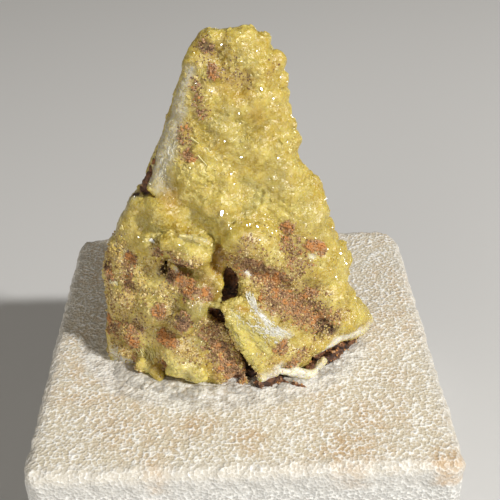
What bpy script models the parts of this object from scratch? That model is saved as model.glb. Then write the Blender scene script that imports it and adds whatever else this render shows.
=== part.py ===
"""Limonite specimen: a yellow crystalline crust on a slab of limonite, set upright on a foam block.

Built in millimetres and scaled to metres at the end. +Z is up, the crust faces -Y, and the origin
is the middle of the block's underside.
"""

import math
import random

import bmesh
import bpy
from mathutils import Matrix, Vector, noise

# The foam block.
BLOCK_WIDTH = 30.0
BLOCK_DEPTH = 30.0
BLOCK_HEIGHT = 15.0
# Radius of the upright corners, as (side, front or back, radius).
CORNERS = ((-1, 1, 2.0), (1, 1, 3.0), (-1, -1, 1.3), (1, -1, 1.1))
WORN_EDGE = 0.7
UNDER_EDGE = 0.4

# The specimen: its height above the block and how its front lies.
SPECIMEN_HEIGHT = 25.6
FOOT_SINK = 1.2
FOOT_INSET = 0.8
FOOT_RIGHT = 7.2
OVERHANG = 0.4
ROCK_GRAIN = 0.45
FACE_FRONT = -6.7
FACE_LEAN = math.radians(12.0)
FACE_BOW = 0.045
FACE_BOW_FADE = 30.0

# Thickness of the whole slab from its face, at the foot and at the top.
SLAB_AT_FOOT = 10.0
SLAB_AT_TOP = 5.0
CRUST_THICKNESS = 2.3

# How far the outline sinks for each millimetre behind the face, at the foot and at the top.
TAPER_AT_FOOT = 0.76
TAPER_AT_TOP = 0.33

# Left and right edge of the crust, as (height above the block, distance from the middle).
CRUST_LEFT = (
    (-1.2, -9.0), (0.0, -10.2), (1.4, -10.6), (4.0, -10.4), (6.5, -10.2), (8.4, -10.4),
    (9.8, -9.6), (12.0, -8.4), (14.0, -7.5), (14.9, -7.0), (17.3, -5.8), (19.4, -4.9),
    (21.6, -3.8), (22.6, -3.5), (23.4, -3.3), (24.4, -2.6), (25.6, -1.5),
)
CRUST_RIGHT = (
    (-1.2, 1.5), (0.4, 4.8), (1.2, 8.0), (1.9, 10.2), (3.6, 9.6), (6.2, 8.3), (8.0, 8.1),
    (9.6, 7.7), (11.2, 6.7), (13.6, 6.1), (15.2, 5.2), (16.6, 4.3), (18.4, 4.1),
    (20.6, 3.5), (22.6, 3.4), (23.9, 2.7), (24.8, 1.7), (25.6, 0.8),
)

# Left and right edge of the rock slab behind the crust.
ROCK_LEFT = (
    (-1.2, -8.0), (1.5, -9.3), (8.0, -9.3), (12.0, -7.9), (14.2, -6.9), (14.9, -6.3),
    (17.5, -4.9), (20.0, -3.8), (22.0, -3.1), (23.4, -2.6), (24.6, -1.4),
)
ROCK_RIGHT = (
    (-1.2, 5.8), (0.6, 8.0), (1.4, 9.4), (3.0, 8.4), (6.0, 7.2), (10.0, 6.2), (14.0, 4.9),
    (17.0, 3.3), (21.0, 2.5), (24.6, 0.8),
)

# Knobs down the right edge: (height, distance from the middle, depth behind the face, radius).
RIM_KNOBS = (
    (24.7, 0.9, 0.7, 0.70), (24.3, 1.9, 0.8, 0.55), (23.0, 2.8, 0.9, 0.70), (21.8, 3.0, 1.0, 0.58),
    (20.7, 3.1, 1.2, 0.52), (19.6, 3.2, 1.2, 0.62), (18.6, 3.6, 1.3, 0.50), (17.6, 3.7, 1.3, 0.66),
    (16.4, 3.7, 1.4, 0.55), (15.1, 4.4, 1.2, 0.62), (14.1, 5.2, 1.3, 0.72), (12.9, 5.5, 1.4, 0.60),
    (11.9, 6.0, 1.4, 0.56), (10.9, 6.3, 1.5, 0.60), (9.8, 6.7, 1.5, 0.55), (8.8, 7.3, 1.3, 0.66),
    (7.7, 7.7, 1.3, 0.76), (6.6, 7.6, 1.4, 0.66), (5.5, 7.4, 1.4, 0.60), (4.6, 8.1, 1.3, 0.62),
    (3.6, 8.8, 1.2, 0.62), (2.6, 9.3, 1.1, 0.70), (1.7, 9.7, 1.0, 0.70),
)

# Raised forms of the crust: (height, across, depth, half width, half height, half depth, tilt).
RAISED = (
    (24.7, -1.4, 0.7, 0.7, 0.6, 0.8, 0.0),  # knob at the top left
    (24.4, 0.1, 0.7, 1.1, 0.9, 1.1, 0.0),  # knob at the top
    (22.3, 1.7, 0.8, 1.2, 1.5, 1.2, 0.2),
    (22.4, -1.5, 1.0, 1.1, 1.4, 1.2, 0.0),
    (20.6, 0.3, 0.9, 1.7, 1.6, 1.2, 0.0),
    (18.6, -1.0, 0.8, 1.8, 1.2, 1.2, 0.6),
    (17.2, 1.6, 0.9, 1.5, 1.6, 1.3, 0.0),
    (15.8, -2.6, 0.7, 1.8, 1.3, 1.3, 0.5),
    (13.8, -1.1, 0.5, 1.7, 1.2, 1.4, 0.0),  # smooth swelling with the large glint
    (14.4, 3.1, 0.8, 1.6, 1.5, 1.4, 0.2),
    (12.9, -4.7, 0.8, 1.7, 1.4, 1.3, 0.3),
    (11.7, 0.7, 0.1, 2.2, 1.5, 1.8, 0.2),  # boss of the right lobe
    (10.5, 2.0, 0.3, 2.0, 1.2, 1.6, 0.5),
    (11.7, 4.3, 0.9, 1.7, 1.6, 1.4, 0.4),
    (8.4, 5.4, 0.8, 1.8, 1.9, 1.5, 0.5),
    (5.4, 6.3, 0.9, 1.7, 1.5, 1.4, 0.6),
    (3.2, 7.6, 0.7, 1.6, 0.8, 1.3, 0.3),
    (10.4, -3.1, 0.0, 1.5, 0.8, 1.3, 0.0),  # block below the pale ledge
    (11.3, -3.2, -0.2, 1.4, 0.22, 1.2, 0.0),  # the pale ledge
    (10.5, -6.0, 0.5, 1.4, 1.0, 1.1, 0.0),
    (10.7, -5.9, -0.3, 0.4, 0.25, 0.7, 0.6),  # white chip
    (8.2, -8.5, 1.0, 0.9, 1.7, 1.2, 0.0),  # column down the left edge
    (5.6, -8.3, 0.8, 1.2, 1.6, 1.3, 0.0),
    (5.4, -5.9, 0.5, 1.4, 1.3, 1.2, 0.0),
    (6.4, -3.1, 0.2, 1.0, 1.3, 1.2, -0.3),
    (4.9, -4.1, -0.1, 0.9, 0.8, 0.9, 0.0),  # purple-brown nodule
    (2.9, -7.6, 0.6, 1.5, 1.2, 1.3, 0.0),
    (2.5, -4.6, 0.1, 1.3, 1.2, 1.2, 0.0),
    (1.0, -3.6, 0.5, 1.4, 0.9, 1.1, 0.2),  # pale broken crystal at the foot
    (0.5, -6.2, 0.8, 1.3, 0.8, 1.1, 0.0),
    (0.3, -8.6, 0.9, 1.0, 0.8, 1.1, 0.0),  # white corner at the lower left
)

# The fibrous wing: a fan of long crystals from its tip, as (tilt, length, half width, lift).
WING_TIP = (7.1, -1.6)
WING_RAYS = (
    (0.42, 6.8, 0.50, 0.45), (0.54, 7.2, 0.55, 0.35), (0.68, 7.0, 0.60, 0.25),
    (0.84, 6.8, 0.60, 0.30), (1.00, 6.2, 0.55, 0.45), (1.14, 4.6, 0.45, 0.55),
)

# Hollows that stop in the crust: (height, across, depth, half width, half height, half depth, tilt).
HOLLOWS = (
    (8.6, -4.1, -0.3, 1.5, 0.9, 1.4, 0.2),  # hollow with the orange grains
    (9.2, -5.0, 0.3, 0.6, 0.6, 1.3, 0.0),  # dark pit at its left
    (8.9, -6.7, -0.3, 0.9, 1.3, 1.1, 0.1),  # amber hollow
    (9.8, -1.4, -0.2, 0.6, 1.7, 1.6, 0.1),  # upright gully
    (7.4, 3.2, -0.5, 2.9, 1.1, 1.2, 0.8),  # the long rusty slope
    (5.4, 4.9, -0.5, 2.2, 1.1, 1.2, 0.7),
    (2.9, 5.7, 0.3, 0.7, 0.45, 1.4, 0.3),  # dark pit
    (6.9, -6.9, -0.5, 1.3, 0.5, 0.8, 0.0),
    (3.9, -6.1, -0.5, 1.1, 0.5, 0.9, 0.1),
    (2.0, -6.3, -0.5, 0.4, 1.1, 0.9, 0.2),
    (12.7, 2.6, -0.4, 1.4, 0.5, 0.7, 0.5),
    (16.3, 0.0, -0.4, 1.7, 0.5, 0.7, 0.2),
    (19.3, -2.2, -0.4, 1.2, 0.4, 0.7, 0.8),
    (21.6, 0.2, -0.4, 1.5, 0.4, 0.7, -0.3),
    (13.0, -2.9, -0.4, 0.5, 1.2, 0.7, 0.4),
    (4.7, -1.8, -0.5, 0.9, 0.8, 1.0, 0.5),  # the brown slope left of the wing
    (3.4, -1.2, -0.5, 0.9, 0.9, 1.0, 0.4),
    (2.0, -0.7, -0.5, 1.0, 0.9, 1.1, 0.3),
    (0.5, -0.3, -0.5, 1.2, 0.9, 1.2, 0.2),
)

# Openings that reach the rock: (height, across, depth, half width, half height, half depth, tilt).
OPENINGS = (
    (7.8, -0.5, 1.2, 0.75, 1.35, 3.2, 0.1),
    (7.1, -0.7, 1.0, 0.9, 0.6, 3.0, -0.2),
    (5.7, -1.7, 1.2, 0.95, 0.52, 3.0, 0.85),
    (14.3, -7.1, 1.0, 1.55, 0.46, 2.9, 0.1),  # notch in the upper left edge
)

# The crevice along the left of the wing, down to the foot: (height, across, radius).
CREVICE = (
    (4.3, -0.75, 0.34), (3.6, -0.45, 0.36), (2.9, -0.10, 0.40), (2.2, 0.20, 0.44), (1.5, 0.50, 0.50),
    (0.8, 0.80, 0.56), (0.0, 1.05, 0.62), (-0.8, 1.25, 0.66),
)

# Flat breaks through the crust, between two points of the face, as (height, across, height, across,
# lean to the front). The broken side is on the left of the way from the first point to the second.
BREAKS = (
    (15.0, -5.3, 22.6, -2.7, 1.02),  # grey-white edge down the upper left
    (9.8, -8.9, 14.0, -6.8, 0.85),
    (0.6, 12.0, 1.7, 5.8, 0.80),  # pale edge at the lower right
    (1.2, 6.3, 0.6, 1.8, 0.80),
)
BREAK_SIZE = 4.0

# Rock that stands forward of the slab: (height, across, depth, half width, height, depth, tilt).
ROCK_FORWARD = (
    (4.5, -2.1, 2.9, 1.4, 1.0, 1.5, 0.6), (3.2, -1.6, 2.7, 1.6, 1.2, 1.6, 0.5),
    (1.6, -1.0, 2.6, 1.7, 1.3, 1.7, 0.3), (0.0, -0.4, 2.5, 1.9, 1.0, 1.6, 0.0),
    (-0.6, 1.9, 1.5, 1.4, 0.6, 1.3, -0.2), (-0.5, 3.9, 1.8, 1.4, 0.5, 1.4, -0.1),
    (0.6, 7.2, 2.0, 1.2, 0.45, 1.3, 0.6), (1.2, 8.5, 2.0, 0.8, 0.35, 1.0, 0.5),
    (-0.1, 5.8, 2.0, 1.2, 0.6, 1.4, 0.4),
)

# The adhesive: its outline on the block, as (across, from front to back), and its ends in height.
BED_OUTLINE = (
    (-11.2, -2.4), (-10.4, -5.6), (-8.2, -7.3), (-5.6, -7.9), (-2.8, -7.8), (0.0, -8.0), (2.8, -8.1),
    (5.2, -7.2), (7.0, -5.6), (8.4, -2.6), (8.4, 1.4), (6.2, 3.8), (0.0, 4.8), (-6.6, 4.2), (-10.2, 1.8),
)
BED_INSET = 0.95
BED_BOTTOM = -2.2
BED_TOP = 0.12

GAP = 0.32
MM = 0.001


def edge_at(edge, height):
    """Distance from the middle that an edge has at this height, straight between its points."""
    for (low, a), (high, b) in zip(edge, edge[1:]):
        if height <= high:
            share = max(0.0, (height - low) / (high - low))
            return a + share * (b - a)
    return edge[-1][1]


def face_y(across, height):
    """Where the crust's general face lies, before any knob or hollow."""
    bow = FACE_BOW * across * across * math.exp(-max(height, 0.0) / FACE_BOW_FADE)
    return FACE_FRONT + bow + math.tan(FACE_LEAN) * height


def on_face(across, height, depth):
    """The point this far behind the face, with the height counted from the block's top."""
    return Vector((across, face_y(across, height) + depth, BLOCK_HEIGHT + height))


def slab_depth(height):
    """Thickness of the whole slab at this height."""
    share = min(1.0, max(0.0, height / SPECIMEN_HEIGHT))
    return SLAB_AT_FOOT + share * (SLAB_AT_TOP - SLAB_AT_FOOT)


def sunk(height, depth):
    """The height on the face that limits the outline at this depth, because the slab narrows backwards."""
    share = min(1.0, max(0.0, height / SPECIMEN_HEIGHT))
    return height + depth * (TAPER_AT_FOOT + share * (TAPER_AT_TOP - TAPER_AT_FOOT))


def row_of(left, right, height, depth, radius, spacing):
    """Evenly spaced places across a row, far enough inside both edges for a ball of this radius."""
    level = sunk(height, depth)
    if level + radius > SPECIMEN_HEIGHT:
        return []
    inset = 1.1 * radius + FOOT_INSET * max(0.0, 0.6 - height)
    start = edge_at(left, level) + inset
    end = edge_at(right, level) - inset
    if end <= start:
        return [0.5 * (start + end)]
    steps = max(1, round((end - start) / spacing))
    return [start + (end - start) * step / steps for step in range(steps + 1)]


def add_ball(shape, point, radii, tilt=0.0):
    """Adds an ellipsoid, tilted in the plane of the face."""
    placed = Matrix.Translation(point) @ Matrix.Rotation(tilt, 4, "Y") @ Matrix.Diagonal((*radii, 1.0))
    bmesh.ops.create_icosphere(shape, subdivisions=3, radius=1.0, matrix=placed)


def add_form(shape, row):
    """Adds one ellipsoid from a row of a table of forms."""
    height, across, depth, wide, tall, deep, tilt = row
    add_ball(shape, on_face(across, height, depth), (wide, deep, tall), tilt)


def add_chunk(shape, point, dice):
    """Adds one broken block: a box that lies nearly along the rock's grain."""
    turn = Matrix.Rotation(ROCK_GRAIN + dice.uniform(-0.22, 0.22), 4, "Y")
    turn = turn @ Matrix.Rotation(dice.uniform(-0.3, 0.2), 4, "X")
    turn = turn @ Matrix.Rotation(dice.uniform(-0.35, 0.35), 4, "Z")
    sized = Matrix.Diagonal((dice.uniform(2.4, 3.6), dice.uniform(2.2, 3.0), dice.uniform(2.0, 3.4), 1.0))
    bmesh.ops.create_cube(shape, size=1.0, matrix=Matrix.Translation(point) @ turn @ sized)


def object_of(name, shape, collection):
    """Makes an object of a bmesh and frees the bmesh."""
    mesh = bpy.data.meshes.new(name)
    shape.to_mesh(mesh)
    shape.free()
    made = bpy.data.objects.new(name, mesh)
    collection.objects.link(made)
    return made


def bake(thing):
    """Replaces an object's mesh by what its modifiers make of it."""
    bpy.context.view_layer.update()
    graph = bpy.context.evaluated_depsgraph_get()
    finished = bpy.data.meshes.new_from_object(thing.evaluated_get(graph))
    old = thing.data
    thing.modifiers.clear()
    thing.data = finished
    bpy.data.meshes.remove(old)
    finished.name = thing.name


def fuse(thing, voxel):
    """Grows overlapping shapes into one skin."""
    remesh = thing.modifiers.new("one skin", "REMESH")
    remesh.mode = "VOXEL"
    remesh.voxel_size = voxel
    bake(thing)


def roughen(thing, height, grain, seed):
    """Moves each point along its normal by two sizes of noise."""
    shape = bmesh.new()
    shape.from_mesh(thing.data)
    shape.normal_update()
    shift = Vector((seed * 13.7, seed * 5.1, seed * 9.3))
    moves = []
    for point in shape.verts:
        coarse = noise.noise(point.co / grain + shift)
        fine = noise.noise(point.co / (0.4 * grain) + shift)
        moves.append(point.normal * height * (coarse + 0.5 * fine))
    for point, move in zip(shape.verts, moves):
        point.co += move
    shape.to_mesh(thing.data)
    shape.free()


def facet(thing, triangles):
    """Reduces a skin to about this number of flat facets."""
    now = sum(len(face.vertices) - 2 for face in thing.data.polygons)
    fewer = thing.modifiers.new("facets", "DECIMATE")
    fewer.ratio = min(1.0, triangles / now)
    fewer.use_collapse_triangulate = True
    bake(thing)


def cut(thing, cutter):
    """Takes the cutter's volume away from an object."""
    away = thing.modifiers.new("cut by " + cutter.name, "BOOLEAN")
    away.operation = "DIFFERENCE"
    away.solver = "EXACT"
    away.object = cutter
    bake(thing)


def keep_largest(thing):
    """Drops the loose chips that a cut leaves beside the main piece."""
    shape = bmesh.new()
    shape.from_mesh(thing.data)
    left = set(shape.verts)
    pieces = []
    while left:
        front = [left.pop()]
        piece = list(front)
        while front:
            reached = {edge.other_vert(front[-1]) for edge in front[-1].link_edges}
            front.pop()
            fresh = reached & left
            left -= fresh
            front.extend(fresh)
            piece.extend(fresh)
        pieces.append(piece)
    pieces.sort(key=len)
    for piece in pieces[:-1]:
        bmesh.ops.delete(shape, geom=piece, context="VERTS")
    shape.to_mesh(thing.data)
    shape.free()


def swollen(thing, name, by, triangles, collection):
    """A helper with the same shape, larger all round by this much."""
    helper = thing.copy()
    helper.data = thing.data.copy()
    helper.name = name
    collection.objects.link(helper)
    swell = helper.modifiers.new("swell", "DISPLACE")
    swell.strength = by
    swell.mid_level = 0.0
    bake(helper)
    fuse(helper, 0.25)
    facet(helper, triangles)
    return helper


def cutter_of(name, rows, collection):
    """One helper made of a table of ellipsoids, fused where they overlap."""
    shape = bmesh.new()
    for row in rows:
        add_form(shape, row)
    helper = object_of(name, shape, collection)
    fuse(helper, 0.14)
    roughen(helper, 0.18, 0.7, 5)
    facet(helper, 110 * len(rows))
    return helper


def above_block(across, height, radius):
    """The height raised, where needed, so that growths right of the foot clear the block."""
    return max(height, radius + OVERHANG) if across > FOOT_RIGHT else height


def add_growths(shape, dice):
    """The crust's general surface: rows of small growths over rows of larger ones."""
    height = -1.0
    while height < SPECIMEN_HEIGHT:
        under = 0.45 * max(0.0, 1.2 - height)
        for across in row_of(CRUST_LEFT, CRUST_RIGHT, height, 0.8, 0.85, 1.15):
            radius = dice.uniform(0.62, 0.98)
            depth = 0.8 + under + dice.uniform(-0.28, 0.28)
            aside = dice.uniform(-0.25, 0.25)
            level = above_block(across, height + dice.uniform(-0.25, 0.25), radius)
            point = on_face(across + aside, level, depth)
            add_ball(shape, point, (radius, radius, radius))
        for across in row_of(CRUST_LEFT, CRUST_RIGHT, height, 2.0, 1.3, 1.3):
            level = above_block(across, height, 1.3)
            add_ball(shape, on_face(across, level, 2.0 + under), (1.3, 1.5, 1.3))
        height += 0.95


def add_rim(shape):
    """The knobs down the right edge, with two more ranks of them behind."""
    for height, across, depth, radius in RIM_KNOBS:
        add_ball(shape, on_face(across, height, depth), (radius, radius, radius))
        for rank in (1, 2):
            behind = depth + 1.1 * rank
            lower = height - (sunk(height, behind) - sunk(height, depth)) - 0.15 * rank
            lower = above_block(across, lower, radius + 0.1)
            radii = (radius, radius + 0.25, radius + 0.1)
            add_ball(shape, on_face(across - 0.25 * rank, lower, behind), radii)


def add_wing(shape):
    """The fibrous wing: long crystals that spread from its tip."""
    top, side = WING_TIP
    for tilt, length, wide, lift in WING_RAYS:
        height = top - 0.5 * length * math.cos(tilt)
        across = side + 0.5 * length * math.sin(tilt)
        add_ball(shape, on_face(across, height, 0.1 - lift), (wide, 0.6, 0.5 * length), -tilt)


def build_crust_blank(collection, cutters):
    """The crust before it is parted from the rock: all growths fused, hollowed and roughened."""
    shape = bmesh.new()
    add_growths(shape, random.Random(4))
    add_rim(shape)
    for row in RAISED:
        add_form(shape, row)
    blank = object_of("yellow_crust", shape, collection)
    fuse(blank, 0.2)
    cut(blank, cutter_of("hollows", HOLLOWS, cutters))
    shape = bmesh.new()
    shape.from_mesh(blank.data)
    add_wing(shape)
    shape.to_mesh(blank.data)
    shape.free()
    fuse(blank, 0.2)
    roughen(blank, 0.14, 0.8, 7)
    return blank


def break_away(crust, cutters):
    """Cuts the flat breaks along the crust's edges."""
    front = Vector((0.0, -math.cos(FACE_LEAN), math.sin(FACE_LEAN)))
    shape = bmesh.new()
    for low, a, high, b, lean in BREAKS:
        start = on_face(a, low, 0.0)
        along = on_face(b, high, 0.0) - start
        length = along.length
        along.normalize()
        outward = front.cross(along).normalized()
        normal = math.cos(lean) * outward + math.sin(lean) * front
        third = normal.cross(along).normalized()
        middle = start + 0.5 * length * along + 0.5 * BREAK_SIZE * normal
        turn = Matrix((along, third, normal)).transposed().to_4x4()
        sized = Matrix.Diagonal((length, 12.0, BREAK_SIZE, 1.0))
        bmesh.ops.create_cube(shape, size=1.0, matrix=Matrix.Translation(middle) @ turn @ sized)
    helper = object_of("breaks", shape, cutters)
    fuse(helper, 0.2)
    roughen(helper, 0.22, 1.1, 9)
    facet(helper, 500)
    cut(crust, helper)


def build_rock(collection):
    """The limonite slab: broken blocks in layers, with its forward parts."""
    shape = bmesh.new()
    dice = random.Random(21)
    height = -FOOT_SINK + 0.5
    while height < SPECIMEN_HEIGHT:
        depth = CRUST_THICKNESS + 1.2
        while depth < slab_depth(height) - 1.5 - 0.8 * max(0.0, 1.5 - height):
            for across in row_of(ROCK_LEFT, ROCK_RIGHT, height, depth, 1.7, 1.9):
                add_chunk(shape, on_face(across, height, depth), dice)
            depth += 1.9
        height += 1.8
    for row in ROCK_FORWARD:
        add_form(shape, row)
    rock = object_of("limonite_matrix", shape, collection)
    fuse(rock, 0.3)
    fuse(rock, 0.42)
    roughen(rock, 0.4, 2.2, 3)
    return rock


def level_foot(thing, cutters):
    """Cuts the specimen's foot level, where it stands in the adhesive."""
    shape = bmesh.new()
    middle = Vector((0.0, 0.0, BLOCK_HEIGHT - FOOT_SINK - 5.0))
    wide = Matrix.Diagonal((6.0, 6.0, 1.0, 1.0))
    bmesh.ops.create_cube(shape, size=10.0, matrix=Matrix.Translation(middle) @ wide)
    cut(thing, object_of("floor of " + thing.name, shape, cutters))


def prism_of(name, outline, low, high, collection):
    """An upright prism on an outline, between two heights from the block's top."""
    flat = bpy.data.curves.new(name, "CURVE")
    flat.dimensions = "2D"
    flat.fill_mode = "BOTH"
    flat.extrude = 0.5 * (high - low)
    spline = flat.splines.new("POLY")
    spline.points.add(len(outline) - 1)
    for point, (x, y) in zip(spline.points, outline):
        point.co = (x, y, 0.0, 1.0)
    spline.use_cyclic_u = True
    drawn = bpy.data.objects.new("outline of " + name, flat)
    drawn.location.z = BLOCK_HEIGHT + 0.5 * (low + high)
    collection.objects.link(drawn)
    bpy.context.view_layer.update()
    graph = bpy.context.evaluated_depsgraph_get()
    mesh = bpy.data.meshes.new_from_object(drawn.evaluated_get(graph))
    mesh.transform(drawn.matrix_world)
    shape = bmesh.new()
    shape.from_mesh(mesh)
    bmesh.ops.remove_doubles(shape, verts=shape.verts, dist=0.0001)
    bmesh.ops.recalc_face_normals(shape, faces=shape.faces)
    bpy.data.objects.remove(drawn)
    bpy.data.meshes.remove(mesh)
    return object_of(name, shape, collection)


def build_collar(cutters):
    """A plate with an opening like the adhesive: what it trims stands clear of the block."""
    shape = bmesh.new()
    middle = Vector((0.0, 0.0, BLOCK_HEIGHT + 0.5 * (OVERHANG - 3.0)))
    wide = Matrix.Diagonal((40.0, 40.0, OVERHANG + 3.0, 1.0))
    bmesh.ops.create_cube(shape, size=1.0, matrix=Matrix.Translation(middle) @ wide)
    collar = object_of("collar", shape, cutters)
    inner = [(BED_INSET * x, BED_INSET * y) for x, y in BED_OUTLINE]
    cut(collar, prism_of("opening of the collar", inner, -4.0, 1.0, cutters))
    return collar


def build_specimen(collection, cutters):
    """The rock and the crust, parted by a narrow gap that follows the rock."""
    collar = build_collar(cutters)
    rock = build_rock(collection)
    facet(rock, 2300)
    level_foot(rock, cutters)
    cut(rock, collar)
    keep_largest(rock)
    crust = build_crust_blank(collection, cutters)
    facet(crust, 4700)
    cut(crust, cutter_of("openings", OPENINGS, cutters))
    crevice = [(height, across, 0.9, size, size, 1.9, 0.0) for height, across, size in CREVICE]
    cut(crust, cutter_of("crevice", crevice, cutters))
    break_away(crust, cutters)
    cut(crust, swollen(rock, "room for the rock", GAP + 0.10, 1500, cutters))
    level_foot(crust, cutters)
    cut(crust, collar)
    keep_largest(crust)
    return rock, crust


def build_bed_blank(collection):
    """The adhesive before the foot is cut into it: a thick outline with rounded edges."""
    bed = prism_of("glue_bed", BED_OUTLINE, BED_BOTTOM, BED_TOP, collection)
    fuse(bed, 0.35)
    roughen(bed, 0.3, 1.7, 11)
    facet(bed, 500)
    return bed


def build_block(collection):
    """The foam block, with worn corners and edges."""
    shape = bmesh.new()
    sized = Matrix.Diagonal((BLOCK_WIDTH, BLOCK_DEPTH, BLOCK_HEIGHT, 1.0))
    raised = Matrix.Translation((0.0, 0.0, 0.5 * BLOCK_HEIGHT))
    bmesh.ops.create_cube(shape, size=1.0, matrix=raised @ sized)
    for side, end, radius in CORNERS:
        corner = [edge for edge in shape.edges if is_upright(edge, side, end)]
        bmesh.ops.bevel(shape, geom=corner, offset=radius, segments=6, profile=0.5, affect="EDGES")
    top = [edge for edge in shape.edges if min(point.co.z for point in edge.verts) > BLOCK_HEIGHT - 0.01]
    bmesh.ops.bevel(shape, geom=top, offset=WORN_EDGE, segments=3, profile=0.5, affect="EDGES")
    base = [edge for edge in shape.edges if max(point.co.z for point in edge.verts) < 0.01]
    bmesh.ops.bevel(shape, geom=base, offset=UNDER_EDGE, segments=1, profile=0.5, affect="EDGES")
    return object_of("foam_block", shape, collection)


def is_upright(edge, side, end):
    """True for the block's sharp upright edge at this side and end."""
    a, b = (point.co for point in edge.verts)
    stands = abs(a.x - b.x) < 0.01 and abs(a.y - b.y) < 0.01
    return stands and a.x * side > 0.5 * BLOCK_WIDTH - 0.01 and a.y * end > 0.5 * BLOCK_DEPTH - 0.01


def build_mount(collection, cutters, rock, crust):
    """The adhesive and the foam block, each cut to what it holds."""
    bed = build_bed_blank(collection)
    block = build_block(collection)
    cut(block, swollen(bed, "hollow in the block", GAP + 0.06, 440, cutters))
    cut(bed, swollen(rock, "room for the foot of rock", GAP + 0.12, 1000, cutters))
    cut(bed, swollen(crust, "room for the foot of crust", GAP + 0.12, 1300, cutters))
    keep_largest(bed)
    return bed, block


def to_metres(things):
    """Scales finished meshes from millimetres and leaves the objects unscaled."""
    for thing in things:
        thing.data.transform(Matrix.Scale(MM, 4))
        thing.data.update()


def clear_scene():
    """Removes every object and collection of the file."""
    for thing in list(bpy.data.objects):
        bpy.data.objects.remove(thing)
    for group in list(bpy.data.collections):
        bpy.data.collections.remove(group)


def give_material(thing, colour, rough):
    """Gives an object a plain surface of one colour."""
    made = bpy.data.materials.new(thing.name)
    made.use_nodes = True
    shader = made.node_tree.nodes["Principled BSDF"]
    shader.inputs["Base Color"].default_value = (*colour, 1.0)
    shader.inputs["Roughness"].default_value = rough
    made.diffuse_color = (*colour, 1.0)
    thing.data.materials.clear()
    thing.data.materials.append(made)


def main():
    """Builds the four pieces and sets the helpers apart from them."""
    clear_scene()
    collection = bpy.data.collections.new("limonite_specimen")
    cutters = bpy.data.collections.new("cutters")
    bpy.context.scene.collection.children.link(collection)
    bpy.context.scene.collection.children.link(cutters)
    rock, crust = build_specimen(collection, cutters)
    bed, block = build_mount(collection, cutters, rock, crust)
    give_material(crust, (0.52, 0.40, 0.07), 0.2)
    give_material(rock, (0.10, 0.04, 0.02), 0.75)
    give_material(bed, (0.55, 0.52, 0.46), 0.4)
    give_material(block, (0.78, 0.72, 0.60), 0.75)
    to_metres([*collection.objects, *cutters.objects])
    for helper in cutters.objects:
        helper.hide_render = True
        helper.display_type = "WIRE"
    cutters.hide_render = True


main()
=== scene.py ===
"""Limonite specimen: the looks of a yellow crystal crust on a slab of limonite, set on a foam block.

Each piece is worked in millimetres from the middle of the block's underside and scaled to metres
when it is done. +Z is up, the crust faces -Y and +X is to the right.
"""

import math
import random

import bmesh
import bpy
import numpy as np
from mathutils import Matrix, Vector, noise
from mathutils.bvhtree import BVHTree


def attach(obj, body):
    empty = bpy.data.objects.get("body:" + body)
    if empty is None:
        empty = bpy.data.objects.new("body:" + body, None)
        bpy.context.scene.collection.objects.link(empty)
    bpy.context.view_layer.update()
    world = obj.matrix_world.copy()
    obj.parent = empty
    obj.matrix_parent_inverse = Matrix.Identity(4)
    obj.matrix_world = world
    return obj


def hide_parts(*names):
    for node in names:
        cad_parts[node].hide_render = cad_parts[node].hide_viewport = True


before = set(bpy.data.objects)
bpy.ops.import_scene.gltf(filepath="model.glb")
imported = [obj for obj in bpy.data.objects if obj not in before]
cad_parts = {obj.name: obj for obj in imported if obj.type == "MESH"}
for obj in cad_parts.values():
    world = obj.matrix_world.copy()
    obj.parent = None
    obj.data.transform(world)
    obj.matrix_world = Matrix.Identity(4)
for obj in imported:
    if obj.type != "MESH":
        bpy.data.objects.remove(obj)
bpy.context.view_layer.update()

# The foam block: a square of fine-celled plastic foam, sawn from a board. Its corners and upper edges
# are worn round, its faces show the cells as small beads, and its top has taken tan stains.
MM = 0.001
BLOCK_HALF = 15.0
BLOCK_HEIGHT = 15.0
CORNER_RADII = {(-1, 1): 2.0, (1, 1): 3.0, (-1, -1): 1.3, (1, -1): 1.1}
WORN_EDGE = 0.8
WEAR_REACH = 1.4
WORN_ABOVE = 12.5
STAINED_ABOVE = 13.0
TOP_SQUARES = 236
WALL_LEVELS = (
    0.25, 0.5, 0.75, 1.0, 1.3, 1.6, 2.0, 2.4, 2.8, 3.3, 3.8, 4.4, 5.0,
    5.7, 6.4, 7.2, 8.0, 8.9, 9.8, 10.8, 11.8, 12.8, 13.6, 14.2,
)
TOP_EDGE = (0.0138, 0.0148)
BEAD_SIZE = 0.26
BEAD_HEIGHT = 0.040
# Tan stains on the block's top: (x, y, radius, strength).
TAN_STAINS = (
    (13.7, -14.2, 1.1, 0.9), (-3, -10.5, 1.3, 0.6), (-5.9, -14.3, 0.9, 0.5), (7.2, -13.3, 1.7, 0.6),
    (0.4, -12.1, 1.3, 0.7), (9, -10.2, 1.6, 0.4), (-9.5, -10.8, 1.5, 0.35), (11.8, -6, 1.4, 0.3),
)
# The patch where the specimen is glued in, and how far the foam round it is whitened by the glue.
GLUE_MIDDLE = (-1.4, -1.7)
GLUE_HALF = (9.9, 6.5)
SOAKED_REACH = 1.17


def object_of(name, shape):
    """Makes an object of a bmesh and frees the bmesh."""
    mesh = bpy.data.meshes.new(name)
    shape.to_mesh(mesh)
    shape.free()
    made = bpy.data.objects.new(name, mesh)
    bpy.context.scene.collection.objects.link(made)
    return made


def skin_of(thing):
    """The places of an object's points and the outward direction at each, one row each."""
    found = []
    for parts, name in ((thing.data.vertices, "co"), (thing.data.vertex_normals, "vector")):
        rows = np.empty(len(parts) * 3, np.float32)
        parts.foreach_get(name, rows)
        found.append(rows.reshape(-1, 3).astype(float))
    return found


def put_points(thing, places):
    """Gives an object's points new places."""
    thing.data.vertices.foreach_set("co", places.astype(np.float32).ravel())
    thing.data.update()


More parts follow.
